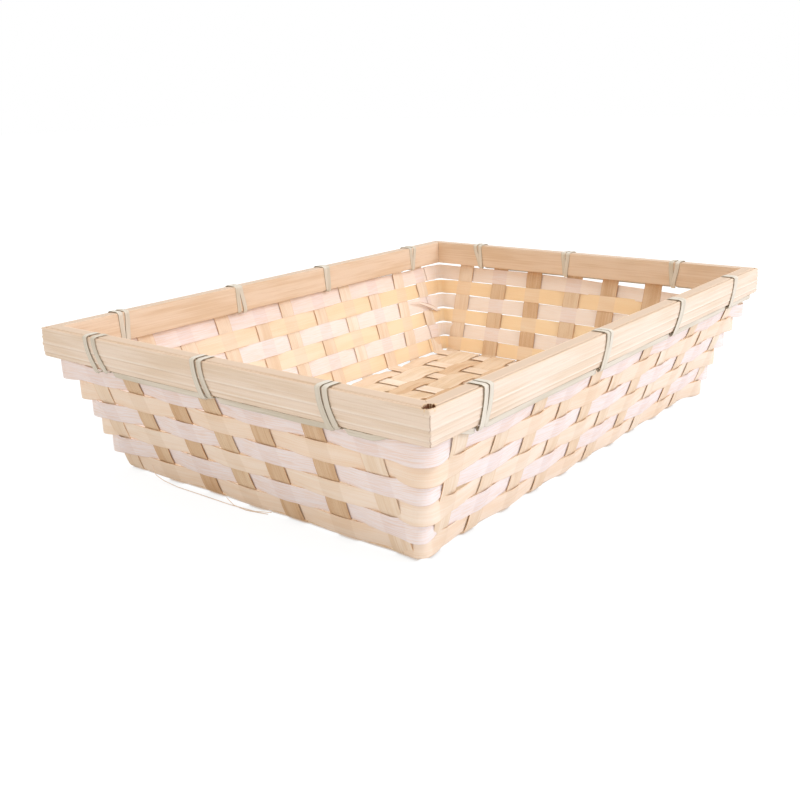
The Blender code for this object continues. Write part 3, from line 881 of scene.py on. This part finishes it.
@dataclass
class Stakes:
    """Eleven cross and seven long stakes, each one strip from rim to rim."""
    sweep: SplintSweep
    bow: float = 0.00030
    spacing: float = 0.002
    bend_steps: int = 8
    tip_cut: float = 0.0007

    def _standing(self, side: Side, index: int) -> list[tuple[Vector, Vector]]:
        """Find the stations of a standing end, from its tip down to the base.

        Args:
            side: the side that it stands in.
            index: the stake's number.

        Returns:
            The points with the directions of the strip's thickness.
        """
        upturn = math.pi / 2 - PLAN.lean
        slope = side.outward * math.sin(PLAN.lean) + UP * math.cos(PLAN.lean)
        normal = side.outward * math.cos(PLAN.lean) - UP * math.sin(PLAN.lean)
        rim_point = side.outward * (side.wall - PLAN.stake_inset) + UP * PLAN.rim_level
        stations = []
        tip = PLAN.top_level - PLAN.stake_end_drop - PLAN.rim_level - self.tip_cut
        for step in range(4):
            rise = mix(tip, 0.002, step / 3)
            stations.append((rim_point + UP * rise + side.along * side.place(index, 1),
                             side.outward))
        count = int(PLAN.slant / self.spacing)
        for step in range(1, count):
            depth = PLAN.slant * step / count
            row = (depth - PLAN.ribbon_slot) / PLAN.row_pitch + 0.5
            sign = 1 if (index + side.phase) % 2 else -1
            bow = sign * math.cos(math.pi * row) * self.bow if row > 0.5 else 0
            place = side.along * side.place(index, 1 - depth / PLAN.slant)
            stations.append((rim_point - slope * depth + normal * bow + place, normal))
        stations = [s for s in stations if s[0].z > PLAN.foot_level + 0.0008]
        radius = PLAN.base_bend_radius
        flat_reach = PLAN.foot_half(side.wall * 2) - radius * math.sin(upturn)
        for step in range(self.bend_steps, -1, -1):
            angle = upturn * step / self.bend_steps
            point = (side.outward * (flat_reach + radius * math.sin(angle))
                     + UP * (PLAN.base_level + radius * (1 - math.cos(angle)))
                     + side.along * side.place(index, 0))
            stations.append((point, side.outward * math.sin(angle) - UP * math.cos(angle)))
        return stations

    def _guide(self, near: Side, far: Side, index: int) -> list[Station]:
        """Lay out a stake. The long ones go over the even cross stakes and under the odd.

        Args:
            near: the near side that it stands in.
            far: the far side.
            index: the stake's number.

        Returns:
            The line that it follows, from the near rim to the far rim.
        """
        first = self._standing(near, index)
        last = self._standing(far, index)
        start, end = first[-1][0], last[-1][0]
        if near.stakes is PLAN.cross:
            count = int((end - start).length / self.spacing)
            level = [start.lerp(end, step / count) for step in range(1, count)]
        else:
            level = base_course(start, end, 0, self.spacing)
        across = Vector([abs(value) for value in near.along])
        return [Station(point, across, through)
                for point, through in first + [(point, -UP) for point in level] + last[::-1]]

    def build(self) -> None:
        """Make the eighteen stakes."""
        far_long, near_short, near_long, far_short = SIDES
        pale, dark = CROSS_SPLINT.build(), LONG_SPLINT.build()
        splint = Splint(width=PLAN.cross.width, thickness=0.0005, wander=0.00035,
                        wander_length=0.035, warp=0.00008)
        for index in near_long.order():
            self.sweep.make(f"cross_stake_splint_{index:02d}",
                            self._guide(near_long, far_long, index), splint, 20 + index * 1.73,
                            pale, "stake", f"cross_stake_{index:02d}")
        splint = replace(splint, width=PLAN.long.width, warp=0.00005)
        for index in near_short.order():
            self.sweep.make(f"long_stake_splint_{index}",
                            self._guide(near_short, far_short, index), splint,
                            50 + index * 1.91, pale if index in (1, PLAN.long.count) else dark,
                            "stake", f"long_stake_{index}")


@dataclass
class BaseFillers:
    """Broad strips of the base alone, one between each two long stakes."""
    sweep: SplintSweep
    spacing: float = 0.002
    overlap: float = 0.0001

    def build(self) -> None:
        """Make the six fillers."""
        finish = FILLER_SPLINT.build()
        reach = PLAN.foot_half(PLAN.rim_length) - PLAN.base_bend_radius
        for index in range(1, PLAN.long.count):
            high = -PLAN.stake_place(PLAN.long, index)
            low = -PLAN.stake_place(PLAN.long, index + 1)
            start, end = [Vector((x, (high + low) / 2, PLAN.base_level)) for x in (-reach, reach)]
            width = high - low - PLAN.long.width + self.overlap
            guide = [Station(point, Y_AXIS, -UP)
                     for point in (start, *base_course(start, end, 1, self.spacing), end)]
            splint = Splint(width, thickness=0.0007, wander=0.0002, wander_length=0.04,
                            warp=0.00004)
            self.sweep.make(f"base_filler_splint_{index}", guide, splint, 70 + index * 1.61,
                            finish, "filler", f"base_filler_{index}")


@dataclass(frozen=True)
class Column:
    """A column of a slat hoop's mesh.

    u is its place along the side, and turn its share of the way round the corner after
    it, or -1 on the straight. cut is how much of that corner is cut off outside.
    """
    side: Side
    distance: float
    cut: float
    u: float = 0.0
    turn: float = -1.0

    @property
    def folded(self) -> bool:
        """Whether it lies in the fold itself."""
        return 0.2 < self.turn < 0.8


@dataclass
class SlatHoop:
    """A bamboo slat folded into a rectangle.

    inset is how far its outer face lies in from the rim's outside. cuts is how much of
    each corner is cut off outside, after the far long, near short, near long and far
    short side. ridges lists (height share, rise in metres) of the thin raised lines on
    its face. lips is how far the top of its outer and of its inner face stands out of
    the slat. rebate is how thick its top edge is where a step is cut into its inner
    side, 0 for none. hole is the middle of the hole that the fold tore at the nearest
    corner. wobble, sag and fold_wave are how much its face, its lower edge and its
    folds are uneven, and the scales are cells of that chance pattern per metre.
    """
    name: str
    node: str
    inset: float
    thickness: float
    height: float
    cuts: tuple[float, float, float, float]
    flat_cut: bool
    ridges: tuple[tuple[float, float], ...]
    lips: tuple[float, float]
    seed: float
    rebate: float = 0.0
    crown: float = 0.0002
    hole: tuple[float, float] = (-0.1957, -0.1412)
    hole_radius: float = 0.0031
    hole_depth: float = 0.0055
    face_cuts: int = 60
    top_cuts: int = 18
    inner_cuts: int = 10
    spacing: float = 0.003
    fine_spacing: float = 0.0004
    inner_room: float = 0.0004
    ridge_half_share: float = 0.034
    edge_round: float = 0.0006
    wobble: float = 0.00010
    sag: float = 0.00025
    fold_wave: float = 0.0006
    sway_scale: float = 22.0
    sag_scale: float = 9.0
    torn_scale: float = 900.0

    def _profile(self) -> list[tuple[float, float, float, float]]:
        """Draw the slat's section, anticlockwise from the foot of its outer face.

        Returns:
            Points as (depth from the outer face, height share, painted highlight of the raised
            lines, top).
        """
        points = []
        for step in range(self.face_cuts + 1):
            share = step / self.face_cuts
            rise = self.crown * (1 - (2 * share - 1) ** 2)
            ridge_highlight = 0.0
            for place, lift in self.ridges:
                away = abs(share - place) / self.ridge_half_share
                rise += lift * max(0.0, 1 - away)
                # A painted highlight lies along each raised line.
                ridge_highlight = max(ridge_highlight, smooth(1.6 - away * 1.6) * min(1.0, (lift / 0.00025) ** 2))
            edge = min(share, 1 - share) * self.height
            if edge < self.edge_round:
                rise -= (self.edge_round - edge) ** 2 / self.edge_round
            rise += self.lips[0] * smooth((share - 0.948) / 0.004)
            points.append((self.crown - rise, share, ridge_highlight, smooth((share - 0.975) / 0.02)))
        top = self.rebate or self.thickness + self.lips[1]
        start = points[-1][0]
        for step in range(1, self.top_cuts):
            across = mix(start, top, step / self.top_cuts)
            points.append((across, 1.0, 0.0, smooth((top - across) / 0.0008 - 0.8)))
        full = 1.0
        if self.rebate:
            full = 0.93
            points += [(self.rebate, 1.0, 0.0, 1.0), (self.rebate + 0.0001, full, 0.0, 1.0)]
        for step in range(self.inner_cuts + 1):
            share = full * (1 - step / self.inner_cuts)
            inward = 0.0003 if step in (0, self.inner_cuts) else 0.0
            lip = self.lips[1] * smooth((share - 0.85) / 0.1)
            points.append((self.thickness + lip - inward, share, 0.0, 0.0))
        return points

    def _columns(self) -> list[Column]:
        """Lay out the columns round the hoop, closer together beside the corners.

        Returns:
            The columns in the order of travel.
        """
        columns = []
        distance = 0.0
        for number, side in enumerate(SIDES):
            cut = self.cuts[number]
            first = self.cuts[number - 1] - (side.end - self.inset)
            last = side.end - self.inset - cut
            count = int((last - first) / self.spacing)
            places = [mix(first, last, step / count) for step in range(4, count - 3)]
            for step in range(1, 22):
                places += [first + self.fine_spacing * step, last - self.fine_spacing * step]
            columns += [Column(side, distance + u - first, cut, u) for u in sorted(places)]
            distance += last - first
            columns += [Column(side, distance + 2 * cut * turn, cut, turn=turn)
                        for turn in (0.0, 0.18, 0.3, 0.5, 0.7, 0.82, 1.0)]
            distance += 2 * cut
        return columns

    def _place(self, column: Column, depth: float) -> Vector:
        """Find where a column is.

        Args:
            column: the column.
            depth: the depth from the outer face.

        Returns:
            The place, at the height 0.
        """
        side, cut, turn = column.side, column.cut, column.turn
        left = min(1.0, max(0.0, depth) / self.thickness)
        room = cut * (1 - left) + self.inner_room * left
        end = side.end - self.inset
        wall = side.outward * (side.wall - self.inset - depth)
        if turn < 0:
            return side.along * column.u * ((end - depth - room) / (end - cut)) + wall
        corner = side.along * (end - depth) + wall
        start = corner - side.along * room
        finish = corner - side.outward * room
        if self.flat_cut:
            return start.lerp(finish, turn)
        return start * (1 - turn) ** 2 + corner * 2 * turn * (1 - turn) + finish * turn ** 2

    def _crease(self, column: Column, depth: float, share: float, torn: float) -> float:
        """Find how dark the outer fold's line is, with the painted shade in the inner slat's inner
        corners and at the foot of the raised lines.

        Args:
            column: the column.
            depth: the depth from the outer face.
            share: the height share.
            torn: the chance pattern of the torn wood.

        Returns:
            The amount from 0 to 1.
        """
        outside = depth < self.thickness / 2
        crease_and_shade = 0.0
        if outside and column.folded and not self.flat_cut:
            crease_and_shade = smooth((0.88 - share) / 0.06) * (0.32 + 0.4 * torn)
            crease_and_shade *= 1.0 if column.cut < 0.0009 else 0.3
        # Painted shade in the inner slat's inner corners.
        if column.folded and self.flat_cut and depth > self.thickness / 2:
            crease_and_shade = 0.4
        # Painted shade just below each raised line.
        for edge, lift in self.ridges if outside else ():
            if 0 < edge - share - 0.03 < 0.03:
                crease_and_shade = max(crease_and_shade, min(0.12, lift * 300))
        return crease_and_shade

    def build(self, finish: BambooFinish) -> None:
        """Make the hoop.

        Args:
            finish: what it is made of.
        """
        profile = self._profile()
        columns = self._columns()
        vertices = []
        layers: dict[str, list] = {title: [] for title in (
            "grain", "share", "crease_and_shade", "torn", "ridge_highlight", "crown", "gap")}
        for column in columns:
            along = column.distance
            for depth, share, ridge_highlight, top in profile:
                spot = self._place(column, depth)
                sway = noise.noise(Vector((along * self.sway_scale, share * 1.5, self.seed)))
                sag = noise.noise(Vector((along * self.sag_scale, 3.7, self.seed)))
                torn = noise.noise(Vector((along * self.torn_scale, share * 7 + depth * 700,
                                           self.seed)))
                spot = spot * (1 - self.wobble * (1 + sway) / spot.length)
                if column.folded and not self.flat_cut:
                    wave = noise.noise(Vector((share * 13, self.seed, along)))
                    spot = spot + Vector((wave, -wave, 0)) * self.fold_wave
                away = math.hypot(spot.x - self.hole[0], (spot.y - self.hole[1]) * 1.25)
                inside = self.hole_radius * (1 + 0.3 * torn) - away
                pit = smooth(inside / 0.0009) * smooth((share - 0.3) / 0.6)
                height = PLAN.rim_level + share * self.height + sag * self.sag * (1 - share)
                vertices.append((spot.x, spot.y, height - self.hole_depth * pit))
                rim_of_hole = self.hole_radius + 0.0011 + 0.0012 * torn - away
                # Painted shade darkens the inside of the hole.
                hole_shade = smooth(inside / 0.0004 + 1) * (share > 0.5)
                front = depth < self.thickness / 2 and not top
                for title, value in (
                        ("grain", (along, share * self.height + depth, self.seed)),
                        ("share", 2 * share - 1 if front else 0.0),
                        ("crease_and_shade", max(self._crease(column, depth, share, torn), hole_shade)),
                        ("torn", 0.9 * smooth(rim_of_hole / 0.0008) * (share > 0.9)),
                        ("ridge_highlight", ridge_highlight * (0.55 + 0.45 * sway)), ("crown", top), ("gap", 1.0)):
                    layers[title].append(value)
        ring = len(profile)
        faces = []
        for column in range(len(columns)):
            after = (column + 1) % len(columns)
            for step in range(ring):
                nearby = (step + 1) % ring
                faces.append((column * ring + step, after * ring + step,
                              after * ring + nearby, column * ring + nearby))
        mesh = bpy.data.meshes.new(self.name)
        mesh.from_pydata(vertices, [], faces)
        store(mesh, layers)
        mesh.shade_smooth()
        mesh.set_sharp_from_angle(angle=math.radians(50))
        mesh.materials.append(finish.build())
        place_piece(add_object(self.name, mesh), self.name, self.node)


@dataclass
class Lashing:
    """One cane ribbon that runs under the outer slat and ties the rim fourteen times.

    Each tie is two turns round the rim. ties lists for each side where the first and
    the second turn stand at the rim's top, and then at its bottom, in millimetres
    along the side. runs is how far the run between the ties hangs below the slats, in
    millimetres too.
    """
    sweep: SplintSweep
    width: float = 0.0034
    spacing: float = 0.0008
    coarse_spacing: float = 0.003
    run_spacing: float = 0.006
    ties: dict[str, tuple[tuple[float, float, float, float], ...]] = field(
        default_factory=lambda: {
            "far_long": ((-155.1, -149.8, -152.6, -151.6), (-44.6, -41.4, -45.0, -43.0),
                         (47.2, 50.4, 44.3, 49.6), (144.5, 149.5, 145.6, 148.6)),
            "near_short": ((-99.8, -92.4, -90.6, -82.6), (-7.4, -2.2, -0.4, 4.6),
                           (80.4, 84.8, 88.0, 91.6)),
            "near_long": ((-157.2, -152.8, -162.6, -158.6), (-36.6, -32.6, -45.0, -41.6),
                          (62.4, 66.0, 50.0, 53.0), (152.4, 155.4, 143.6, 146.2)),
            "far_short": ((-87.2, -82.1, -84.6, -83.6), (5.6, 9.8, 7.2, 8.2),
                          (90.8, 95.4, 89.6, 90.6))})
    runs: dict[str, float] = field(default_factory=lambda: {
        "far_long": 0.9, "near_short": 2.0, "near_long": 1.9, "far_short": 0.9})
    stations: list[tuple[Vector, Vector, float]] = field(default_factory=list)

    def _put(self, side: Side, *places: tuple[float, ...]) -> None:
        """Add stations.

        Args:
            side: the side that they are on.
            places: for each the place along the side in metres, how far out of the outer
                slat's face and above the slats' lower edge it is in millimetres, how far
                outward and upward its skin faces, and its width in shares of the full.
        """
        for u, out, up, face_out, face_up, girth in places:
            point = (side.along * u + side.outward * (side.wall + out / 1000)
                     + UP * (PLAN.rim_level + up / 1000))
            self.stations.append((point, side.outward * face_out + UP * face_up, girth))

    def _turn(self, side: Side, low: float, high: float, layer: int) -> None:
        """Make one turn round the rim, from the weave below it up the face and back.

        Args:
            side: the side that it is on.
            low: where it leaves the weave, along the side.
            high: where it passes over the top.
            layer: 1 for the turn that lies outermost at the bottom, else 0.
        """
        back = -PLAN.rim_depth * 1000
        bottom = -0.9 - 1.1 * layer
        lift = 0.35 * layer
        self._put(side, (low + 0.0012, -3.6, -0.5, 0.1, -1, 0.6),
                  (low + 0.0010, -1.6, bottom * 0.7 - 0.3, 0.3, -1, 0.75),
                  (low + 0.0003, -0.1, bottom + 0.2, 0.9, -0.5, 0.9))
        self._put(side, *((mix(low, high, 1 - (1 - share) ** 2), 0.1 + lift * (1 - share) ** 3,
                           mix(bottom, 17.2, share), 1, 0, 1)
                          for share in (0.08, 0.2, 0.36, 0.56, 0.78, 0.94)))
        self._put(side, (high, 0.0, 17.75, 0.8, 0.6, 1), (high, -1.4, 18.34, 0.2, 1, 1),
                  (high, back / 2, 18.42, 0, 1, 1), (high, 1.4 + back, 18.34, -0.2, 1, 1),
                  (high, back, 17.75, -0.8, 0.6, 1))
        self._put(side, *((mix(high, low, smooth(share)), back - 0.3 - lift * share,
                           mix(17.0, 0.2, share), -1, 0, 1) for share in (0.06, 0.3, 0.6, 0.9)))
        self._put(side, (low, back, -0.6 - 0.7 * layer, -0.7, -0.7, 0.9),
                  (low, back + 1.6, -0.8 - 0.5 * layer, -0.1, -1, 0.7))

    def _run(self, side: Side, start: float, end: float) -> None:
        """Lie flat against the weave under the outer slat.

        Args:
            side: the side that it is on.
            start: where the run begins along the side.
            end: where it ends.
        """
        count = max(1, int((end - start) / self.run_spacing))
        for step in range(count + 1):
            u = mix(start, end, step / count)
            dip = 0.25 * noise.noise(Vector((u * 60, side.wall * 50, 0.5)))
            self._put(side, (u, -2.3, dip - self.runs[side.name], 1, 0, 0.85))

    def _corner(self, side: Side, following: Side) -> None:
        """Go round the side's end: under the slat after the near long side, else behind it.

        Args:
            side: the side that ends there.
            following: the side after it.
        """
        out, up = (-2.4, -1.9) if side.name == "near_long" else (-4.3, 2.0)
        self._put(side, (side.end - 0.020, out, up, 1, 0, 0.85),
                  (side.end - 0.009, out, up, 1, 0, 0.8))
        self._put(following, (0.009 - following.end, out, up, 1, 0, 0.8),
                  (0.020 - following.end, out, up, 1, 0, 0.85))

    def _guide(self) -> list[Station]:
        """Smooth the stations into the line that the ribbon follows.

        Returns:
            The line, a Hermite curve through the stations.
        """
        points = [station[0] for station in self.stations]
        final = len(points) - 1
        fine = []
        for number in range(final):
            start, end = points[number], points[number + 1]
            before = points[max(0, number - 1)]
            after = points[min(final, number + 2)]
            length = (end - start).length
            lead = (end - before) * (length / max(length + (start - before).length, 1e-9))
            follow = (after - start) * (length / max(length + (after - end).length, 1e-9))
            spacing = self.spacing if length < 0.005 else self.coarse_spacing
            _, skin, girth = self.stations[number]
            _, next_skin, next_girth = self.stations[number + 1]
            count = max(1, int(length / spacing))
            for step in range(count):
                t = step / count
                point = (start * (2 * t ** 3 - 3 * t ** 2 + 1) + lead * (t ** 3 - 2 * t ** 2 + t)
                         + end * (3 * t ** 2 - 2 * t ** 3) + follow * (t ** 3 - t ** 2))
                fine.append((point, skin.lerp(next_skin, t), mix(girth, next_girth, t)))
        guide = []
        for number, (point, skin, girth) in enumerate(fine):
            ahead = fine[min(number + 1, len(fine) - 1)][0]
            behind = fine[max(number - 1, 0)][0]
            along = (ahead - behind).normalized()
            through = (skin - along * skin.dot(along)).normalized()
            guide.append(Station(point, along.cross(through), through, girth))
        return guide

    def build(self) -> None:
        """Make the ribbon."""
        for number, side in enumerate(SIDES):
            at = None
            for tie in self.ties[side.name]:
                first, second, first_low, second_low = (value / 1000 for value in tie)
                if at is not None:
                    self._run(side, at, first_low - 0.0012)
                self._turn(side, first_low, first, 1)
                self._turn(side, second_low, second, 0)
                self._put(side, (second_low + 0.0018, -2.8, -0.9, 0.6, -1, 0.6))
                at = second_low + 0.005
            if number < 3:
                following = SIDES[number + 1]
                self._run(side, at, side.end - 0.034)
                self._corner(side, following)
                if number:
                    self._run(following, 0.034 - following.end,
                              self.ties[following.name][0][2] / 1000 - 0.0012)
        splint = Splint(self.width, PLAN.ribbon_thickness, wander=0.0001, warp=0.0)
        self.sweep.make("cane_ribbon", self._guide(), splint, 91.3, CANE_RIBBON.build(),
                        "ribbon", "lashing_ribbon")


@dataclass
class StrayFibres:
    """Loose fibres of the lowest row, that hang free below the near short side.

    courses lists the places that each passes, in millimetres.
    """
    sweep: SplintSweep
    courses: tuple[tuple[tuple[float, float, float], ...], ...] = (
        ((-175.0, 84.0, 9.0), (-176.6, 79.1, 4.2), (-176.6, 72.0, 2.2), (-176.4, 60.0, 0.9),
         (-176.0, 40.6, 0.7), (-176.0, 15.0, 0.6), (-175.0, -4.0, 0.9), (-172.0, -14.0, 1.6)),
        ((-174.0, 20.0, 3.0), (-176.0, 12.0, 1.1), (-176.0, 2.0, 0.5), (-173.0, -12.0, 0.5)))

    def build(self) -> None:
        """Make the fibres."""
        finish = NATURAL_SPLINT.build()
        for number, course in enumerate(self.courses):
            points = [Vector(place) / 1000 for place in course]
            line = [start.lerp(end, step / 4) for start, end in zip(points, points[1:])
                    for step in range(4)]
            guide = [Station(point, UP, -X_AXIS) for point in (*line, points[-1])]
            splint = Splint(width=0.00035, thickness=0.0003, wander=0.0, warp=0.0, cuts=1)
            self.sweep.make(f"stray_fibre_{number + 1}", guide, splint, 101.7 + number,
                            finish, "natural_weaver")


@dataclass
class LiftedSliver:
    """A sliver of the third row that has come loose inside the far corner.

    course lists its lower edge as places in millimetres and its width there.
    """
    sweep: SplintSweep
    course: tuple[tuple[float, float, float, float], ...] = (
        (141.7, 129.0, 46.4, 0.6), (150.6, 126.5, 44.2, 2.2), (159.6, 125.0, 40.2, 3.2),
        (166.0, 124.4, 37.2, 3.4), (170.7, 124.0, 34.5, 2.8), (178.0, 123.8, 34.3, 0.5))
    width: float = 0.0034

    def build(self) -> None:
        """Make the sliver."""
        guide = []
        places = [(Vector((x, y, z + wide / 2)) / 1000, wide / 1000 / self.width)
                  for x, y, z, wide in self.course]
        for (start, first), (end, last) in zip(places, places[1:]):
            across = -(end - start).cross(Y_AXIS).normalized()
            guide += [Station(start.lerp(end, step / 6), across, Y_AXIS, mix(first, last, step / 6))
                      for step in range(6)]
        splint = Splint(self.width, thickness=0.0004, wander=0.0001, wander_length=0.02, warp=0.0)
        self.sweep.make("lifted_sliver", guide, splint, 111.9, TORN_SPLINT.build(),
                        "white_weaver")


@dataclass
class Studio:
    """Camera, lamps, floor and world of the photograph.

    lamps lists for each its place, its size, its power and its colour.
    """
    lens: float = 44.407
    place: tuple[float, float, float] = (-0.5165, -0.3823, PLAN.top_level + 0.12845)
    turn: tuple[float, float, float] = (72.6158, 1.5107, -51.7909)
    lamps: tuple[tuple[str, tuple[float, float, float], float, float, str], ...] = (
        ("key", (0.5, -1.7, 1.1), 1.4, 26.0, "#F8F8FF"),
        ("fill", (-1.7, 0.1, 0.8), 1.4, 7.0, "#FFF0DE"),
        ("top", (0.1, 0.2, 1.8), 1.6, 10.0, "#FFFFFF"))
    aim: tuple[float, float, float] = (0, 0, 0.04)
    world_strength: float = 0.55
    floor_reach: float = 6.0

    def _camera(self) -> None:
        """Put the camera where it fits the rim's corners and the weave."""
        camera = bpy.data.cameras.new("camera")
        camera.sensor_width = 36.0
        camera.lens = self.lens
        made = add_object("camera", camera)
        made.location = self.place
        made.rotation_euler = Euler([math.radians(angle) for angle in self.turn])
        bpy.context.scene.camera = made

    def _lamps(self) -> None:
        """Add soft square lamps that point at the basket."""
        for name, place, size, power, colour in self.lamps:
            light = bpy.data.lights.new(name, "AREA")
            light.shape = "SQUARE"
            light.size = size
            light.energy = power
            light.color = linear(colour)[:3]
            made = add_object(name, light)
            made.location = place
            aim = Vector(self.aim) - made.location
            made.rotation_euler = aim.to_track_quat("-Z", "Y").to_euler()

    def _world(self) -> None:
        """White surroundings: full white where seen, a soft level as light."""
        world = bpy.data.worlds.new("white room")
        bpy.context.scene.world = world
        world.use_nodes = True
        add = partial(add_node, world.node_tree)
        path = add("ShaderNodeLightPath", {}).node.outputs
        seen = path["Is Camera Ray"]
        for ray in ("Is Glossy Ray", "Is Transmission Ray"):
            seen = add(MATH, {0: seen, 1: path[ray]}, operation="MAXIMUM")
        feed(world.node_tree.nodes["Background"],
             {"Color": (1, 1, 1, 1), "Strength": add(RANGE, {0: seen, 3: self.world_strength})})

    def _floor(self) -> None:
        """White table top: a matt part takes real shadow; its glow has a painted shadow and painted
        warm bounce light below the basket.
        """
        mesh = bpy.data.meshes.new("floor")
        corners = ((-1, -1), (1, -1), (1, 1), (-1, 1))
        mesh.from_pydata([(x * self.floor_reach, y * self.floor_reach, 0) for x, y in corners],
                         [], [(0, 1, 2, 3)])
        material = bpy.data.materials.new("white table top")
        material.use_nodes = True
        tree = material.node_tree
        tree.nodes.remove(tree.nodes["Principled BSDF"])
        add = partial(add_node, tree)
        matt, pale = [add("ShaderNodeBsdfDiffuse", {"Color": linear(grey)})
                      for grey in ("#E8E8E8", "#6E6E6E")]
        away = add(VECTOR_MATH, {0: add("ShaderNodeTexCoord", {}, "Object")}, "Value",
                   operation="LENGTH")
        level = add(RANGE, {0: away, 1: 0.2, 2: 0.9, 3: 0.9, 4: 1.05})
        # Painted shadow: the camera-seen glow dims where the basket stands close over the floor.
        below = add("ShaderNodeAmbientOcclusion", {"Distance": 0.05}, "AO")
        bare = add(RANGE, {0: below, 1: 0.0, 2: 0.35, 3: 0.45, 4: 1.0})
        power = add(MATH, {0: level, 1: bare}, operation="MULTIPLY")
        # Painted bounce light: right under the basket the glow turns warm.
        tint = add("ShaderNodeMix", {0: add(RANGE, {0: below, 1: 0.02, 2: 0.2}),
                                     6: linear("#FFC890"), 7: (1, 1, 1, 1)}, 2, data_type="RGBA")
        glow = add("ShaderNodeEmission", {"Color": tint, "Strength": power})
        seen = add("ShaderNodeAddShader", {0: pale, 1: glow})
        path = add("ShaderNodeLightPath", {}, "Is Camera Ray")
        chosen = add("ShaderNodeMixShader", {0: path, 1: matt, 2: seen})
        feed(tree.nodes["Material Output"], {"Surface": chosen})
        mesh.materials.append(material)
        add_object("floor", mesh)

    def build(self) -> None:
        """Set up the studio."""
        bpy.context.scene.view_settings.view_transform = "Standard"
        self._camera()
        self._lamps()
        self._world()
        self._floor()


def main() -> None:
    """Build the dressed basket and its studio."""
    logging.basicConfig(level=logging.INFO, format="%(name)s: %(message)s")
    sweep = SplintSweep()
    Studio().build()
    outer = SlatHoop(
        name="outer_slat", node="outer_rim", inset=0.0004, thickness=PLAN.outer_slat,
        height=PLAN.slat_height - 0.0004, cuts=(0.0010, 0.0008, 0.0010, 0.0010),
        flat_cut=False, ridges=((0.19, 0.00028), (0.49, 0.00028), (0.33, 0.00010),
                                (0.66, 0.00012), (0.82, 0.00010)),
        lips=(0.0, 0.0), seed=5.2, rebate=0.0013)
    outer.build(OUTER_SLAT)
    inner = SlatHoop(
        name="inner_slat", node="inner_rim", inset=PLAN.rim_depth - PLAN.inner_slat,
        thickness=PLAN.inner_slat, height=PLAN.slat_height - 0.0001,
        cuts=(0.0008, 0.0008, 0.0008, 0.0008), flat_cut=True, ridges=(),
        lips=(0.0027, 0.0), seed=8.4)
    inner.build(INNER_SLAT)
    for assembly in (WeaverHoops, Stakes, BaseFillers, Lashing, StrayFibres, LiftedSliver):
        assembly(sweep).build()


if __name__ == "__main__":
    main()
